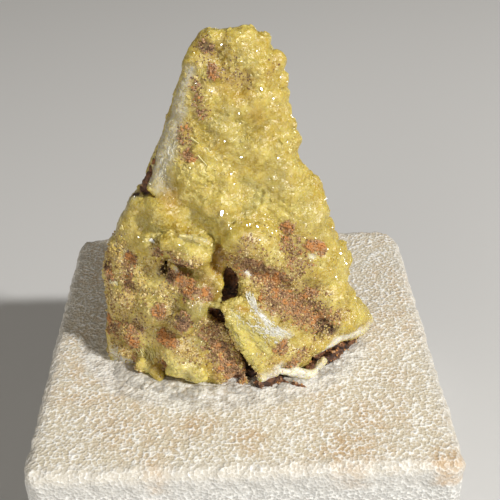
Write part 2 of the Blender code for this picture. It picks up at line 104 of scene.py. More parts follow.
def paint(thing, name, values):
    """Stores one value for each point of an object under this name."""
    thing.data.attributes.new(name, "FLOAT", "POINT").data.foreach_set("value", values.astype(np.float32))


def clipped(values):
    """Values kept from 0 to 1."""
    return np.clip(values, 0.0, 1.0)


def soft_noise(places, grain, seed):
    """Smooth noise from about -1 to 1, with this grain in millimetres."""
    shift = np.array((7.3, 1.9, 4.1)) * seed
    return np.array([noise.noise(Vector(place)) for place in places / grain + shift])


def beads(places, size, seed):
    """1 in the middle of each rounded bead, falling to about 0 where beads meet."""
    shift = np.array((3.7, 8.1, 2.3)) * seed
    near = np.array([noise.voronoi(Vector(place))[0][0] for place in places / size + shift])
    return 1.0 - clipped(near / 0.75) ** 2


def dress(thing, material):
    """Scales a finished mesh to metres and gives it its material."""
    thing.data.transform(Matrix.Scale(MM, 4))
    thing.data.materials.clear()
    thing.data.materials.append(material)


def finish_piece(thing, node, material):
    """Finishes a smooth mesh that stands for a node's solid."""
    thing.data.polygons.foreach_set("use_smooth", [True] * len(thing.data.polygons))
    dress(thing, material)
    thing.data.update()
    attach(thing, "root")
    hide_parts(node)


def rounded_corner(x, y):
    """Moves a point of the square's plan so that the four corners come out round."""
    side, end = (1 if x > 0 else -1), (1 if y > 0 else -1)
    radius = CORNER_RADII[side, end]
    flat = BLOCK_HALF - radius
    u, v = (abs(x) - flat) / radius, (abs(y) - flat) / radius
    if u <= 0 or v <= 0:
        return x, y
    across = flat + radius * u * math.sqrt(1.0 - 0.5 * v * v)
    along = flat + radius * v * math.sqrt(1.0 - 0.5 * u * u)
    return side * across, end * along


def glue_reach(places):
    """How far points lie from the middle of the glued patch: 1 at its edge."""
    return np.hypot(*((places[:, axis] - GLUE_MIDDLE[axis]) / GLUE_HALF[axis] for axis in (0, 1)))


shape = bmesh.new()
bmesh.ops.create_grid(shape, x_segments=TOP_SQUARES, y_segments=TOP_SQUARES, size=BLOCK_HALF)
bmesh.ops.translate(shape, vec=(0.0, 0.0, BLOCK_HEIGHT), verts=shape.verts)
for point in shape.verts:
    inward = BLOCK_HALF - max(abs(point.co.x), abs(point.co.y))
    if inward < WORN_EDGE:
        point.co.z -= WORN_EDGE * (1.0 - math.sqrt(1.0 - (1.0 - inward / WORN_EDGE) ** 2))
    point.co.x, point.co.y = rounded_corner(point.co.x, point.co.y)
rim = [edge for edge in shape.edges if edge.is_boundary]
reached = 0.0
for level in WALL_LEVELS:
    grown = bmesh.ops.extrude_edge_only(shape, edges=rim)["geom"]
    lower = {part for part in grown if isinstance(part, bmesh.types.BMVert)}
    bmesh.ops.translate(shape, vec=(0.0, 0.0, reached - level), verts=list(lower))
    rim = [part for part in grown if isinstance(part, bmesh.types.BMEdge) and lower.issuperset(part.verts)]
    reached = level
lowest = {point for edge in rim for point in edge.verts}
for point in lowest:
    point.co.z = 0.0
bmesh.ops.holes_fill(shape, edges=rim, sides=0)
bmesh.ops.recalc_face_normals(shape, faces=shape.faces)
block = object_of("foam_block_cells", shape)
places, ways = skin_of(block)
edge_wear = clipped(np.abs(places[:, :2]).max(1) - BLOCK_HALF + WEAR_REACH)
edge_wear *= clipped(places[:, 2] - WORN_ABOVE)
lift = BEAD_HEIGHT * (beads(places, BEAD_SIZE, 1) - 0.6) + 0.05 * soft_noise(places, 1.6, 2)
lift += 0.10 * soft_noise(places, 5.0, 3) + edge_wear * (0.16 * soft_noise(places, 0.7, 4) - 0.06)
lift *= clipped(places[:, 2] / 0.6)
put_points(block, places + ways * lift[:, None])
upper = places[:, 2] > STAINED_ABOVE
stained = np.zeros(len(places))
for x, y, radius, strength in TAN_STAINS:
    away = np.hypot(places[:, 0] - x, places[:, 1] - y) / radius
    stained = np.maximum(stained, strength * clipped(1.4 - away) * upper)
reach = glue_reach(places) + 0.06 * soft_noise(places, 1.5, 8)
soaked = clipped((SOAKED_REACH - reach) / 0.08) * clipped((1.0 - places[:, 1]) / 3.0)
paint(block, "tan", stained)
# Painted shade on the worn top edges, whose slope catches more of the lamp: the colour there is greyed and
# darkened and the bright rims are weakened.
paint(block, "worn_edge_shade", edge_wear)
paint(block, "soaked", soaked * upper)


# The functions for nodes work on `tree`, the node tree of the material or group that is being built.
def wired(made, inputs):
    """Gives a node's inputs their values, or links them to sockets."""
    for name, value in inputs.items():
        if isinstance(value, bpy.types.NodeSocket):
            tree.links.new(value, made.inputs[name])
        else:
            made.inputs[name].default_value = value
    return made


def place_node(kind, inputs, **settings):
    """Adds a shader node, with its options and inputs."""
    made = tree.nodes.new(kind)
    for name, value in settings.items():
        setattr(made, name, value)
    return wired(made, inputs)


def mixed(share, *pair):
    """A colour between two colours, by a share from 0 to 1."""
    first, second = (value if isinstance(value, bpy.types.NodeSocket) else (*value, 1.0) for value in pair)
    return place_node("ShaderNodeMix", {0: share, 6: first, 7: second}, data_type="RGBA").outputs[2]


def worked(operation, first, second):
    """The result of one sum on two values."""
    return place_node("ShaderNodeMath", {0: first, 1: second}, operation=operation).outputs[0]


def times(first, second):
    """The product of two values."""
    return worked("MULTIPLY", first, second)


def eased(value, low, high, start=0.0, end=1.0):
    """A value eased from start to end while the input goes from low to high."""
    inputs = {"Value": value, "From Min": low, "From Max": high, "To Min": start, "To Max": end}
    return place_node("ShaderNodeMapRange", inputs, interpolation_type="SMOOTHSTEP").outputs[0]


def stored(name):
    """The values painted on a mesh under this name."""
    return place_node("ShaderNodeAttribute", {}, attribute_name=name).outputs["Fac"]


def layered(colour, *layers):
    """Lays colours over a colour, each with its share (a painted name or a socket) and strength."""
    for share, strength, tint in layers:
        share = stored(share) if isinstance(share, str) else share
        colour = mixed(times(share, strength), colour, tint)
    return colour


def noisy(spot, scale, detail, roughness=0.5):
    """Soft random values, with so many waves to the metre."""
    inputs = {"Vector": spot, "Scale": scale, "Detail": detail, "Roughness": roughness}
    return place_node("ShaderNodeTexNoise", inputs).outputs


def raised(height):
    """The normal of a surface that stands up by this height in millimetres."""
    return place_node("ShaderNodeBump", {"Height": height, "Strength": 1.0, "Distance": MM}).outputs[0]


def new_group(name, sizes, gives):
    """An empty node group for a pattern, with its inputs and its end node."""
    group = bpy.data.node_groups.new(name, "ShaderNodeTree")
    group.interface.new_socket("Vector", in_out="INPUT", socket_type="NodeSocketVector")
    for label, value in sizes.items():
        taken = group.interface.new_socket(label, in_out="INPUT", socket_type="NodeSocketFloat")
        taken.default_value = value
    for label in gives:
        kind = "NodeSocketVector" if label == "Normal" else "NodeSocketFloat"
        group.interface.new_socket(label, in_out="OUTPUT", socket_type=kind)
    return group, group.nodes.new("NodeGroupInput").outputs, group.nodes.new("NodeGroupOutput")


def new_material(name):
    """A new material, its node tree, and the piece's own coordinates in metres."""
    made = bpy.data.materials.new(name)
    made.use_nodes = True
    return made, made.node_tree, made.node_tree.nodes.new("ShaderNodeTexCoord").outputs["Object"]


def surfaced(colour, roughness, relief=None, wax=None, **more):
    """Sets a material's look; wax is the weight, reach by colour and depth of light scattered in it."""
    inputs = {"Base Color": colour, "Roughness": roughness, **more}
    if relief:
        inputs["Normal"] = relief["Normal"]
    if wax:
        weight, radii, depth = wax
        inputs |= {"Subsurface Weight": weight, "Subsurface Radius": radii, "Subsurface Scale": depth * MM}
    wired(tree.nodes["Principled BSDF"], inputs)


def shared(name, spot, **sizes):
    """Places a shared node group and returns its outputs."""
    group = bpy.data.node_groups[name]
    return place_node("ShaderNodeGroup", {"Vector": spot, **sizes}, node_tree=group).outputs


def cloudy(spot, size, edge):
    """A mask of soft patches of this size in millimetres."""
    return shared("clouds", spot, Size=size, Edge=edge)["Mask"]


# Clouds are soft patches of a given size in millimetres, used for stains and for zones of colour.
tree, takes, end = new_group("clouds", {"Size": 2.0, "Edge": 0.15}, ("Mask",))
scale = worked("DIVIDE", 1000.0, takes["Size"])
soft = noisy(takes["Vector"], scale, 3.0, 0.6)["Fac"]
low, high = (worked(step, 0.5, takes["Edge"]) for step in ("SUBTRACT", "ADD"))
wired(end, {"Mask": eased(soft, low, high)})

# Beaded relief is a skin of small rounded cells, with a mask of the joints between them.
gives = ("Normal", "Joint", "Tone")
tree, takes, end = new_group("beaded relief", {"Size": 0.3, "Depth": 0.05}, gives)
scale = worked("DIVIDE", 1000.0, takes["Size"])
inputs = {"Vector": takes["Vector"], "Scale": scale, "Smoothness": 0.35}
cell = place_node("ShaderNodeTexVoronoi", inputs, feature="SMOOTH_F1").outputs
near, fine = cell["Distance"], noisy(takes["Vector"], 9000.0, 2.0)["Fac"]
dome = worked("SUBTRACT", 1.0, times(near, near))
dome = worked("ADD", dome, times(fine, 0.35))
normal = raised(times(dome, takes["Depth"]))
wired(end, {"Normal": normal, "Joint": eased(near, 0.48, 0.80), "Tone": cell["Color"]})

foam, tree, spot = new_material("foam")
relief = shared("beaded relief", spot, Size=0.22, Depth=-0.090)
broad = cloudy(spot, 6.0, 0.12)
small = cloudy(spot, 1.0, 0.14)
fine = cloudy(spot, 0.7, 0.10)
up = place_node("ShaderNodeSeparateXYZ", {"Vector": spot}).outputs["Z"]
on_top = eased(up, *TOP_EDGE)
patchy = worked("ADD", times(small, 0.7), 0.3)
# Painted highlights: the joints between the cells are painted near-white as bright rims, stronger on the
# top than on the front and halved on the worn edges.
rim_highlights = times(relief["Joint"], eased(up, *TOP_EDGE, 0.62, 0.90))
rim_highlights = times(rim_highlights, eased(stored("worn_edge_shade"), 0.0, 1.0, 1.0, 0.50))
# The foam's front face is greyer than its top, and it is also painted darker than the top as painted
# shade.
colour = layered(
    mixed(on_top, (0.53, 0.515, 0.475), (0.66, 0.585, 0.44)),
    (eased(relief["Tone"], 0.62, 0.80, 0.0, 0.65), 1.0, (0.96, 0.94, 0.88)),
    (times(times(broad, small), on_top), 0.50, (0.62, 0.44, 0.25)),
    # painted shade on the worn top edges
    ("worn_edge_shade", 0.60, (0.60, 0.57, 0.51)),
    ("tan", patchy, (0.56, 0.36, 0.17)),
    (rim_highlights, 1.0, (0.97, 0.95, 0.89)),
    ("soaked", 0.70, mixed(fine, (0.48, 0.45, 0.40), (0.90, 0.88, 0.82))),
)
surfaced(colour, 0.42, relief, (0.15, (1.0, 0.9, 0.75), 0.3))
finish_piece(block, "foam_block", foam)

# The adhesive: a pad of clear setting glue pressed into the block's top, smooth and grey where it ran
# out at the front left and frothy where it took up the foam. The specimen's foot is set in it.
GLUE_SKIN = 0.16
GLUE_GROWTH = 0.06
GLUE_FLATTENED = 0.20
GLUE_EDGE_DROP = 0.20
FROTH_FROM = -11.0
FROTH_FADE = 3.0


def copy_of(node):
    """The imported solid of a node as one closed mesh, in millimetres."""
    shape = bmesh.new()
    shape.from_mesh(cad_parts[node].data)
    bmesh.ops.scale(shape, vec=(1000.0, 1000.0, 1000.0), verts=shape.verts)
    bmesh.ops.remove_doubles(shape, verts=shape.verts, dist=0.002)
    return shape


def bake(thing):
    """Replaces an object's mesh by what its modifiers make of it."""
    bpy.context.view_layer.update()
    graph = bpy.context.evaluated_depsgraph_get()
    finished = bpy.data.meshes.new_from_object(thing.evaluated_get(graph))
    old = thing.data
    thing.modifiers.clear()
    thing.data = finished
    bpy.data.meshes.remove(old)


def skinned(thing, voxel, passes):
    """Grows overlapping shapes into one skin of small squares, then smooths it."""
    remesh = thing.modifiers.new("one skin", "REMESH")
    remesh.mode = "VOXEL"
    remesh.voxel_size = voxel
    if passes:
        smooth = thing.modifiers.new("softened", "SMOOTH")
        smooth.factor = 0.5
        smooth.iterations = passes
    bake(thing)


pad = object_of("glue_bed_set", copy_of("glue_bed"))
skinned(pad, GLUE_SKIN, 3)
places, ways = skin_of(pad)
above = np.maximum(places[:, 2] - BLOCK_HEIGHT, 0.0)
places[:, 2] -= above * (1.0 - GLUE_FLATTENED)
thinned = clipped((glue_reach(places) - 0.84) / 0.16)
places[:, 2] -= GLUE_EDGE_DROP * thinned * (places[:, 2] > BLOCK_HEIGHT - 0.4)
put_points(pad, places)
places, ways = skin_of(pad)
froth = clipped((places[:, 0] - FROTH_FROM) / FROTH_FADE)
lift = GLUE_GROWTH + (0.02 + 0.08 * froth) * beads(places, 0.45, 5) + 0.08 * soft_noise(places, 1.8, 6)
put_points(pad, places + ways * lift[:, None])
glue, tree, spot = new_material("set glue")
relief = shared("beaded relief", spot, Size=0.28, Depth=0.12)
patches = cloudy(spot, 1.0, 0.10)
across = place_node("ShaderNodeSeparateXYZ", {"Vector": spot}).outputs["X"]
frothy = eased(across, -0.0105, -0.0070)
smooth = mixed(patches, (0.40, 0.375, 0.325), (0.60, 0.565, 0.49))
foamy = mixed(times(patches, 0.90), (0.76, 0.73, 0.66), (0.38, 0.355, 0.31))
joints = (relief["Joint"], times(frothy, 0.55), (0.48, 0.40, 0.29))
colour = layered(mixed(frothy, smooth, foamy), joints)
surfaced(colour, 0.35, relief, (0.3, (1.0, 0.9, 0.8), 0.6))
finish_piece(pad, "glue_bed", glue)

# The limonite slab: brown iron ore in thin broken layers behind and under the crust, dark red-brown
# where it is dense, orange where it is earthy, and full of fine grains. It grew with the crust.
FACE_FRONT = -6.7
FACE_LEAN = math.radians(12.0)
FACE_BOW = 0.045
FACE_BOW_FADE = 30.0
ROCK_SKIN = 0.15
ROCK_GROWTH = 0.12
BURIED_BELOW = 1.2
BALL_STEP = 0.12
# Rock that shows below and beside the crust, as runs of lumps from one place to another:
# (across, height, depth) of both ends and the radius at each end.
ROCK_RUNS = (
    (9.15, 0.42, 1.05, 8.2, 0.42, 0.9, 0.13, 0.24),  # orange tip of the rim
    (8.2, 0.42, 0.9, 7.2, 0.4, 0.7, 0.26, 0.4), (7.2, 0.45, 0.75, 6.4, 0.3, 0.45, 0.42, 0.34),
    (5.9, 0.35, 0.6, 5.1, 0.25, 0.4, 0.34, 0.3),  # dark lump behind the pale blade
    (2.9, 0.1, 0, 4.7, 0.04, -1.15, 0.14, 0.1),  # thin sill over the adhesive
    (1.3, 0.2, -0.05, 2.7, 0.25, 0.05, 0.36, 0.26),  # rust lump at the foot
    (-5, 17.4, 0.95, -5.8, 15.6, 0.95, 0.06, 0.14),  # dark strip outside the broken left edge
    (-5.8, 15.6, 0.95, -6.2, 14.5, 1.05, 0.14, 0.22), (-6.5, 14.05, 1.3, -5.6, 14.1, 1.2, 0.18, 0.36),
)


def on_face(across, height, depth):
    """The point this far behind the crust's general face, with the height from the block's top."""
    bow = FACE_BOW * across * across * math.exp(-max(height, 0.0) / FACE_BOW_FADE)
    return Vector((across, FACE_FRONT + bow + math.tan(FACE_LEAN) * height + depth, BLOCK_HEIGHT + height))


def add_ball(shape, point, radii, tilt=0.0, steps=3):
    """Adds an ellipsoid, tilted in the plane of the face."""
    placed = Matrix.Translation(point) @ Matrix.Rotation(tilt, 4, "Y") @ Matrix.Diagonal((*radii, 1.0))
    bmesh.ops.create_icosphere(shape, subdivisions=steps, radius=1.0, matrix=placed)


def add_run(shape, row):
    """Adds a row of balls from one place of the face to another, their radius changing evenly."""
    start, end = on_face(*row[0:3]), on_face(*row[3:6])
    steps = max(2, round((end - start).length / BALL_STEP))
    for step in range(steps + 1):
        share = step / steps
        radius = row[6] + share * (row[7] - row[6])
        add_ball(shape, start.lerp(end, share), [radius] * 3, 0.0, 2)


shape = copy_of("limonite_matrix")
for row in ROCK_RUNS:
    add_run(shape, row)
slab = object_of("limonite_slab", shape)
skinned(slab, ROCK_SKIN, 1)
places, ways = skin_of(slab)
layers = np.abs(soft_noise(places * (1.0, 1.0, 2.6), 1.1, 8))
lift = 0.20 * layers + 0.10 * soft_noise(places, 0.45, 9) + 0.10 * beads(places, 0.38, 10)
lift += np.where(places[:, 2] < BLOCK_HEIGHT + BURIED_BELOW, -0.05, ROCK_GROWTH)
put_points(slab, places + ways * lift[:, None])


def vector_sum(operation, first, second):
    """The results of one sum on two vectors."""
    return place_node("ShaderNodeVectorMath", {0: first, 1: second}, operation=operation).outputs


# Facets are small flat crystal faces: each cell of the pattern tilts its own way.
tree, takes, end = new_group("facets", {"Size": 0.3, "Tilt": 0.3, "Grain": 0.02}, ("Normal", "Tone"))
scale = worked("DIVIDE", 1000.0, takes["Size"])
cell = place_node("ShaderNodeTexVoronoi", {"Vector": takes["Vector"], "Scale": scale}).outputs
offset = vector_sum("SUBTRACT", takes["Vector"], cell["Position"])[0]
lean = vector_sum("SUBTRACT", cell["Color"], (0.5, 0.5, 0.5))[0]
plane = vector_sum("DOT_PRODUCT", offset, lean)["Value"]
plane = times(plane, times(takes["Tilt"], 1000.0))
fine = times(noisy(takes["Vector"], 7000.0, 3.0)["Fac"], takes["Grain"])
wired(end, {"Normal": raised(worked("ADD", plane, fine)), "Tone": cell["Color"]})

limonite, tree, spot = new_material("limonite")
relief = shared("facets", spot, Size=0.16, Tilt=0.9, Grain=0.09)
earthy = cloudy(spot, 1.3, 0.10)
dense = cloudy(spot, 0.32, 0.12)
colour = mixed(dense, (0.020, 0.009, 0.006), (0.10, 0.042, 0.022))
colour = layered(colour, (times(earthy, relief["Tone"]), 0.9, (0.40, 0.165, 0.060)))
rough = eased(relief["Tone"], 0.0, 1.0, 0.45, 0.85)
surfaced(colour, rough, relief)
finish_piece(slab, "limonite_matrix", limonite)

# The yellow crust: glassy knobs and small crystals grown over the limonite and all grown together,
# broken pale and silky along the left edge, the lower right edge and the fibrous wing.
COARSE_SKIN = 0.2
FINE_SKIN = 0.115
LAST_SKIN = 0.124
KNOB_SWELL = 0.05
DOME_SINK = 0.35
DOME_DEPTH = 0.5
BLOCK_PITCH = 0.2
# Knobs down the right edge: (height, across, depth, radius).
RIM_KNOBS = (
    (24.7, 0.9, 0.7, 0.66), (24.3, 1.9, 0.8, 0.52), (23, 2.8, 0.9, 0.66), (21.8, 3, 1, 0.55),
    (20.7, 3.1, 1.2, 0.5), (19.6, 3.2, 1.2, 0.58), (18.6, 3.6, 1.3, 0.48), (17.6, 3.7, 1.3, 0.62),
    (16.4, 3.7, 1.4, 0.52), (15.1, 4.4, 1.2, 0.58), (14.1, 5.2, 1.3, 0.68), (12.9, 5.5, 1.4, 0.57),
    (11.9, 6, 1.4, 0.53), (10.9, 6.3, 1.5, 0.57), (9.8, 6.7, 1.5, 0.52), (8.8, 7.3, 1.3, 0.62),
    (7.7, 7.7, 1.3, 0.72), (6.6, 7.6, 1.4, 0.62), (5.5, 7.4, 1.4, 0.57), (4.6, 8.1, 1.3, 0.58),
    (3.6, 8.8, 1.2, 0.58), (2.6, 9.3, 1.1, 0.64), (1.7, 9.7, 1, 0.6),
)
# Smooth domes that catch the light: (across, height, depth, half width, half height).
DOMES = (
    (-1.11, 13.77, -0.62, 0.95, 0.95), (1.73, 21.64, 0.15, 0.5, 0.6), (-0.7, 24.44, 0.25, 0.4, 0.4),
    (0.38, 17.25, 0.2, 0.45, 0.45), (3.49, 17.94, 0.45, 0.4, 0.4), (7.06, 9.22, 0.2, 0.5, 0.5),
    (-3.3, 11.25, -0.6, 0.85, 0.72), (-2.35, 11.1, -0.6, 0.85, 0.72), (-3.9, 10.6, -0.4, 0.6, 0.45),
    (-2.8, 10.55, -0.6, 0.9, 0.5), (-4.1, 5.6, -0.95, 0.64, 0.6),
)
# Blocky crystals grown into the crust: (across, height, depth, half width, half depth, half height, tilt).
BLOCKS = (
    (-4.6, 11.5, -0.6, 0.8, 0.45, 0.4, -0.2),
    (-4.1, 1.35, -0.3, 1, 0.42, 0.72, 0.22),  # broken crystals at the foot
    (-3.2, 1.2, -0.3, 0.5, 0.38, 0.7, -0.25), (-5, 0.9, -0.15, 0.55, 0.35, 0.45, 0.5),
    (-7.3, 0.7, -0.25, 0.55, 0.4, 0.6, 0.4), (-8.6, 1.3, -0.1, 0.6, 0.4, 0.5, -0.3),
    (4.3, 12.6, 0.1, 0.6, 0.4, 0.5, 0.5), (-2, 17.4, 0.1, 0.9, 0.35, 0.45, 0.6),
    (-4.55, 9, 0.05, 0.2, 0.18, 0.52, -0.45),  # white stub in the hollow
    (4.5, 0.4, -0.1, 0.8, 0.22, 0.34, 0.38),  # white broken plate at the foot
    (2.25, 1, 0.1, 0.42, 0.34, 0.36, -0.35),  # white lump beside it
    (5.85, 0.45, 0.1, 0.2, 0.24, 0.78, 0.6),  # pale blade on its other side
)
# Openings down to the rock: (across, height, depth, half width, half depth, half height, tilt).
HOLES = (
    (-0.66, 6.95, 1.2, 0.8, 2.2, 1.18, 0.15),  # the upper hole
    (-1.15, 6.35, 0.9, 0.55, 2, 0.4, 0), (-0.55, 9.1, 1, 0.22, 1.1, 0.34, 0.2),
    (-1.62, 6.35, -0.95, 0.6, 0.7, 0.84, -0.85),  # the lower hole, seen under the wing's tip
    (-1.64, 6, -0.4, 0.6, 0.7, 0.84, -0.85), (-1.66, 5.65, 0.2, 0.6, 0.8, 0.86, -0.85),
    (-1.68, 5.3, 0.9, 0.6, 0.9, 0.88, -0.85),
    (-6.35, 14.4, 0.4, 1.1, 1.5, 0.26, 0.28),  # the notch in the left edge
    (-5.25, 8.6, 0.5, 0.28, 0.9, 0.58, 0),  # dark pit in the hollow
    (-5.17, 18.3, 0.4, 0.42, 1.5, 1, 0.42),  # beside the broken left edge
    (-5.55, 17.4, 0.4, 0.46, 1.5, 1, 0.42), (-5.85, 16.5, 0.4, 0.48, 1.5, 1, 0.36),
    (-6.1, 15.6, 0.4, 0.46, 1.5, 0.9, 0.3), (-6.45, 14.9, 0.4, 0.42, 1.5, 0.5, 0.3),
)
# The wing's free edge, from its tip to the foot: (across, height) where it stands over the crevice.
WING_SIDE = (
    (-0.97, 4.67), (-0.7, 4.03), (-0.43, 3.32), (-0.09, 2.58), (0.26, 1.92), (0.61, 1.16), (0.89, 0.4),
    (1.18, -0.3),
)
# What is cut away along that edge, as openings round each of its places.
WING_CUTS = (
    (-0.1, 0.72, -1, 0.66, 0.95, 0.6, -0.4), (-0.7, 0.6, -0.8, 0.62, 0.8, 0.6, -0.4),
    (-0.05, 0, 0.9, 0.27, 1.1, 0.5, -0.4),
)
# Creases between the knobs: runs from one place to another, with a radius and a depth.
DENTS = (
    (5.9, 4, 0, 6.6, 3.3, 0, 0.45, 0.35),  # the dark pit below the rust
    (-4.3, 8.6, 0.8, -3.5, 8.4, 0.9, 0.18, 0.5),
    (-0.3, 13.1, -0.7, -1.2, 11.8, -0.5, 0.14, 0.32),  # left border of the boss
    (-1.2, 11.8, -0.5, -1.1, 9.6, 0.9, 0.16, 0.35), (0.5, 15.4, 0, 1.8, 14.7, 0, 0.12, 0.1),
    (1.8, 14.7, 0, 1.6, 13.9, 0, 0.12, 0.08), (1.6, 13.9, 0, 0.5, 13.5, 0, 0.12, 0.12),
    (-2.6, 16.2, 0, -1.2, 15.2, 0, 0.12, 0.1), (-3.9, 12.6, 0, -2, 12.9, 0, 0.14, 0.12),
    (2, 19.3, 0.1, 0.6, 18.6, 0, 0.14, 0.12), (3, 11.6, 0, 2, 10.2, 0, 0.14, 0.12),
    (-4.4, 11.9, -0.3, -1.9, 12, -0.3, 0.12, 0.25),  # behind the ledge
)
# Thin edges of the crust, as runs of lumps in the same order as the rock's.
EDGE_RUNS = (
    (-10, 1.9, -0.05, -10, 0.4, -0.15, 0.4, 0.46),  # the lower left corner
    (-10, 0.4, -0.15, -9.5, -0.5, -0.2, 0.46, 0.42), (-9.5, -0.5, -0.2, -8.3, -0.4, -0.25, 0.42, 0.4),
    (-6.5, 0.45, -0.35, -6.1, 0.05, -0.35, 0.44, 0.36),  # crystal at the middle of the foot
    (1.45, 0.6, 0.05, 2.35, 0.95, 0.25, 0.3, 0.26),  # at the foot
    (2.9, 0.8, 0.2, 4.2, 0.45, 0, 0.18, 0.24), (4.9, 0.2, -0.2, 5.5, 0.2, -0.2, 0.22, 0.22),
    (-3.95, 12.1, -0.85, -2.7, 11.85, -0.85, 0.15, 0.13),  # along the top of the ledge
    (-2.7, 11.85, -0.85, -1.85, 11.5, -0.8, 0.13, 0.08),
)
# The wing's tip, a thin ridge left standing between the two holes.
TIP_RUNS = (
    (-2.35, 6.88, -0.35, -1.3, 6.72, -0.45, 0.12, 0.17), (-1.3, 6.72, -0.45, -0.2, 7.08, -0.45, 0.17, 0.3),
)
# Stained, clouded and broken places, and painted light and shade, are painted on the crust's points, each
# as a run from one place of
# the face to another: (across, height, depth, across, height, depth, radius, strength).
# The silky part of the wing:
SILKY = (-0.2, 6, -0.6, 2.6, 3.2, -0.4, 1.3, 1)
# Smooth places, with few small crystals.
SMOOTH = (
    (-0.2, 12.2, -1.2, 1.5, 11.6, -1.3, 1, 1),  # the boss
    (-1.6, 14, -0.4, -0.6, 13.4, -0.6, 0.9, 1), (1.5, 16.8, 0, 2.6, 15.2, 0, 0.9, 0.7),
    (-0.5, 18.6, 0, 0.6, 20.6, 0, 0.8, 0.6), (4.2, 14, 0.3, 5.4, 12.6, 0.5, 0.8, 0.6),
    (-3.3, 7.2, -0.6, -3.1, 4.8, 0, 0.8, 0.8),
)
# The purple-brown nodule:
NODULE = (-4.1, 5.7, -0.95, -4.1, 5.45, -0.95, 0.6, 1)
# Rust-brown places. Two more values are the radius and strength of orange, earthy rust on the same run.
RUST = (
    (-1.9, 24.4, 0.1, -1.5, 24.1, 0.1, 0.34, 0.5), (-1.32, 23, -0.1, -1.32, 22.7, -0.1, 0.3, 1),
    (-2.41, 21.99, -0.2, -2.04, 20.2, 0.1, 0.5, 0.26), (-3.3, 18.9, 0.1, -3.25, 18.2, 0.1, 0.5, 0.3),
    (-3.1, 17.4, -0.1, -3.1, 17.3, -0.1, 0.42, 0.75, 0.4, 0.5),
    (3.47, 12.15, -0.1, 3.47, 12.1, -0.1, 0.42, 0.9, 0.4, 0.8),
    (4.9, 10.84, -0.2, 5.78, 10.17, -0.3, 0.42, 0.9, 0.4, 0.9), (3.3, 10.9, -0.3, 4.2, 9.4, -0.3, 1, 0.32),
    (-7.83, 9.18, 0.1, -7.83, 9.1, 0.1, 0.42, 1, 0.4, 0.9), (-7.9, 8.8, 0.1, -8, 6.9, 0.2, 0.5, 0.5),
    (-9.6, 8, 0, -9.54, 7, -0.1, 0.35, 0.8), (-4.5, 8.45, 0.5, -3.35, 7.2, 0, 0.62, 1),
    (-2.48, 7.42, -0.1, -2.48, 7.2, -0.1, 0.4, 0.9, 0.4, 1), (0.81, 9.85, -0.1, 2.6, 8.2, 0.4, 1, 0.7),
    (2, 8.4, 0.5, 2.7, 8, 0.4, 0.75, 1, 0.6, 1), (2.66, 6.7, 0.3, 6.2, 4.1, 0.1, 1.1, 0.65),
    (4.5, 5, 0.8, 5.8, 4.6, 0.1, 0.6, 1, 0.5, 0.4), (4.97, 6.7, 0.2, 4.97, 6.6, 0.2, 0.5, 0.8, 0.5, 0.8),
    (-0.65, 10.2, 0, 0.69, 12.2, -1.6, 0.45, 0.22), (2.95, 3.3, -0.5, 2.95, 3.2, -0.5, 0.6, 0.8, 0.4, 0.5),
    (4.42, 2.1, 0, 3.47, 1, 0.5, 0.5, 0.5),
    (-10, 3.2, 0.1, -9.9, 3, 0.1, 0.3, 0.9, 0.3, 0.9),  # the lower left lobe
    (-9.7, 2.4, 0, -7.7, 3.7, -0.4, 0.55, 0.5), (-8.1, 3, -0.8, -7.9, 2.2, -0.8, 0.58, 0.8, 0.46, 0.8),
    (-5.8, 5.9, -0.6, -5.8, 5.7, -0.6, 0.45, 0.8, 0.45, 0.8),
    NODULE,
    (-5.7, 3.5, -0.1, -5, 3.5, -0.6, 0.45, 0.9, 0.45, 0.9),
    (-5.5, 1, 0.2, -5.5, 0.9, 0.2, 0.4, 0.8, 0.3, 0.6), (-8.2, 1.1, 0.3, -8.2, 1, 0.3, 0.25, 0.8),
    (-10.1, -0.2, 0, -10, -0.4, 0, 0.4, 0.6), (-5.6, 10.4, -0.5, -3.2, 10.2, -1.1, 0.4, 0.45),
    (-2, 4.4, 0.6, -1.4, 2.8, 0.8, 0.85, 1),  # the brown slope left of the wing
    (-1.4, 2.8, 0.8, -0.5, 0.9, 0.8, 1.1, 1), (-0.5, 0.9, 0.8, 0, -0.6, 0.9, 1.1, 1),
)
# Orange, earthy rust: those runs, and three of its own.
ORANGE = (
    *((*row[:6], *row[8:]) for row in RUST if len(row) > 8),
    (-4.5, 8.4, 0.5, -3.95, 7.95, 0.2, 0.5, 1), (-3.95, 7.95, 0.2, -3.3, 7.1, 0, 0.36, 1),
    (-1.32, 23, -0.1, -1.32, 22.8, -0.1, 0.22, 1),
)
# Scattered brown specks.
SPECKS = (
    (-9.3, 9, 0, -7.2, 1.5, 0, 1.9, 0.4), (-6.8, 7.4, 0, -3.6, 2.2, 0, 1.5, 0.35),
    (1.2, 12.2, -1.2, 2.2, 11, -1.2, 1.1, 0.3), (-2, 24.6, 0.2, -1.3, 23.8, 0.1, 0.5, 1),
    (-2.2, 23.3, 0.1, -1.1, 24, 0.1, 0.4, 0.8), (-0.1, 23.5, 0.1, -0.4, 24.9, 0.1, 0.35, 0.6),
    (-0.7, 22.8, 0, 0.84, 22.3, 0, 0.55, 1), (-1.8, 22.1, 0, -1.4, 21.7, 0, 0.45, 0.7),
    (2.8, 23.1, 0, 2.1, 22.5, 0, 0.25, 0.9), (2.5, 23.6, 0, 2.6, 23.7, 0, 0.2, 0.7),
    (-2.4, 22, 0, -2, 20.2, 0, 0.5, 0.8), (-5.7, 10.4, -0.5, -3.2, 10.3, -1.1, 0.5, 0.9),
    (3.5, 10.6, 0, 3.6, 10.4, 0, 1.1, 0.7), (-0.6, 10.2, 0, 0.7, 12.4, -1.6, 0.5, 0.8),
    (-7.9, 8.8, 0, -8, 6, 0, 0.6, 0.8), (-9, 4, 0, -5, 3, 0, 1.3, 0.5), (1, 10, 0, 6, 4.5, 0, 1.7, 0.7),
    (-3.3, 19, 0, -3.1, 17, 0, 0.6, 0.7),
)
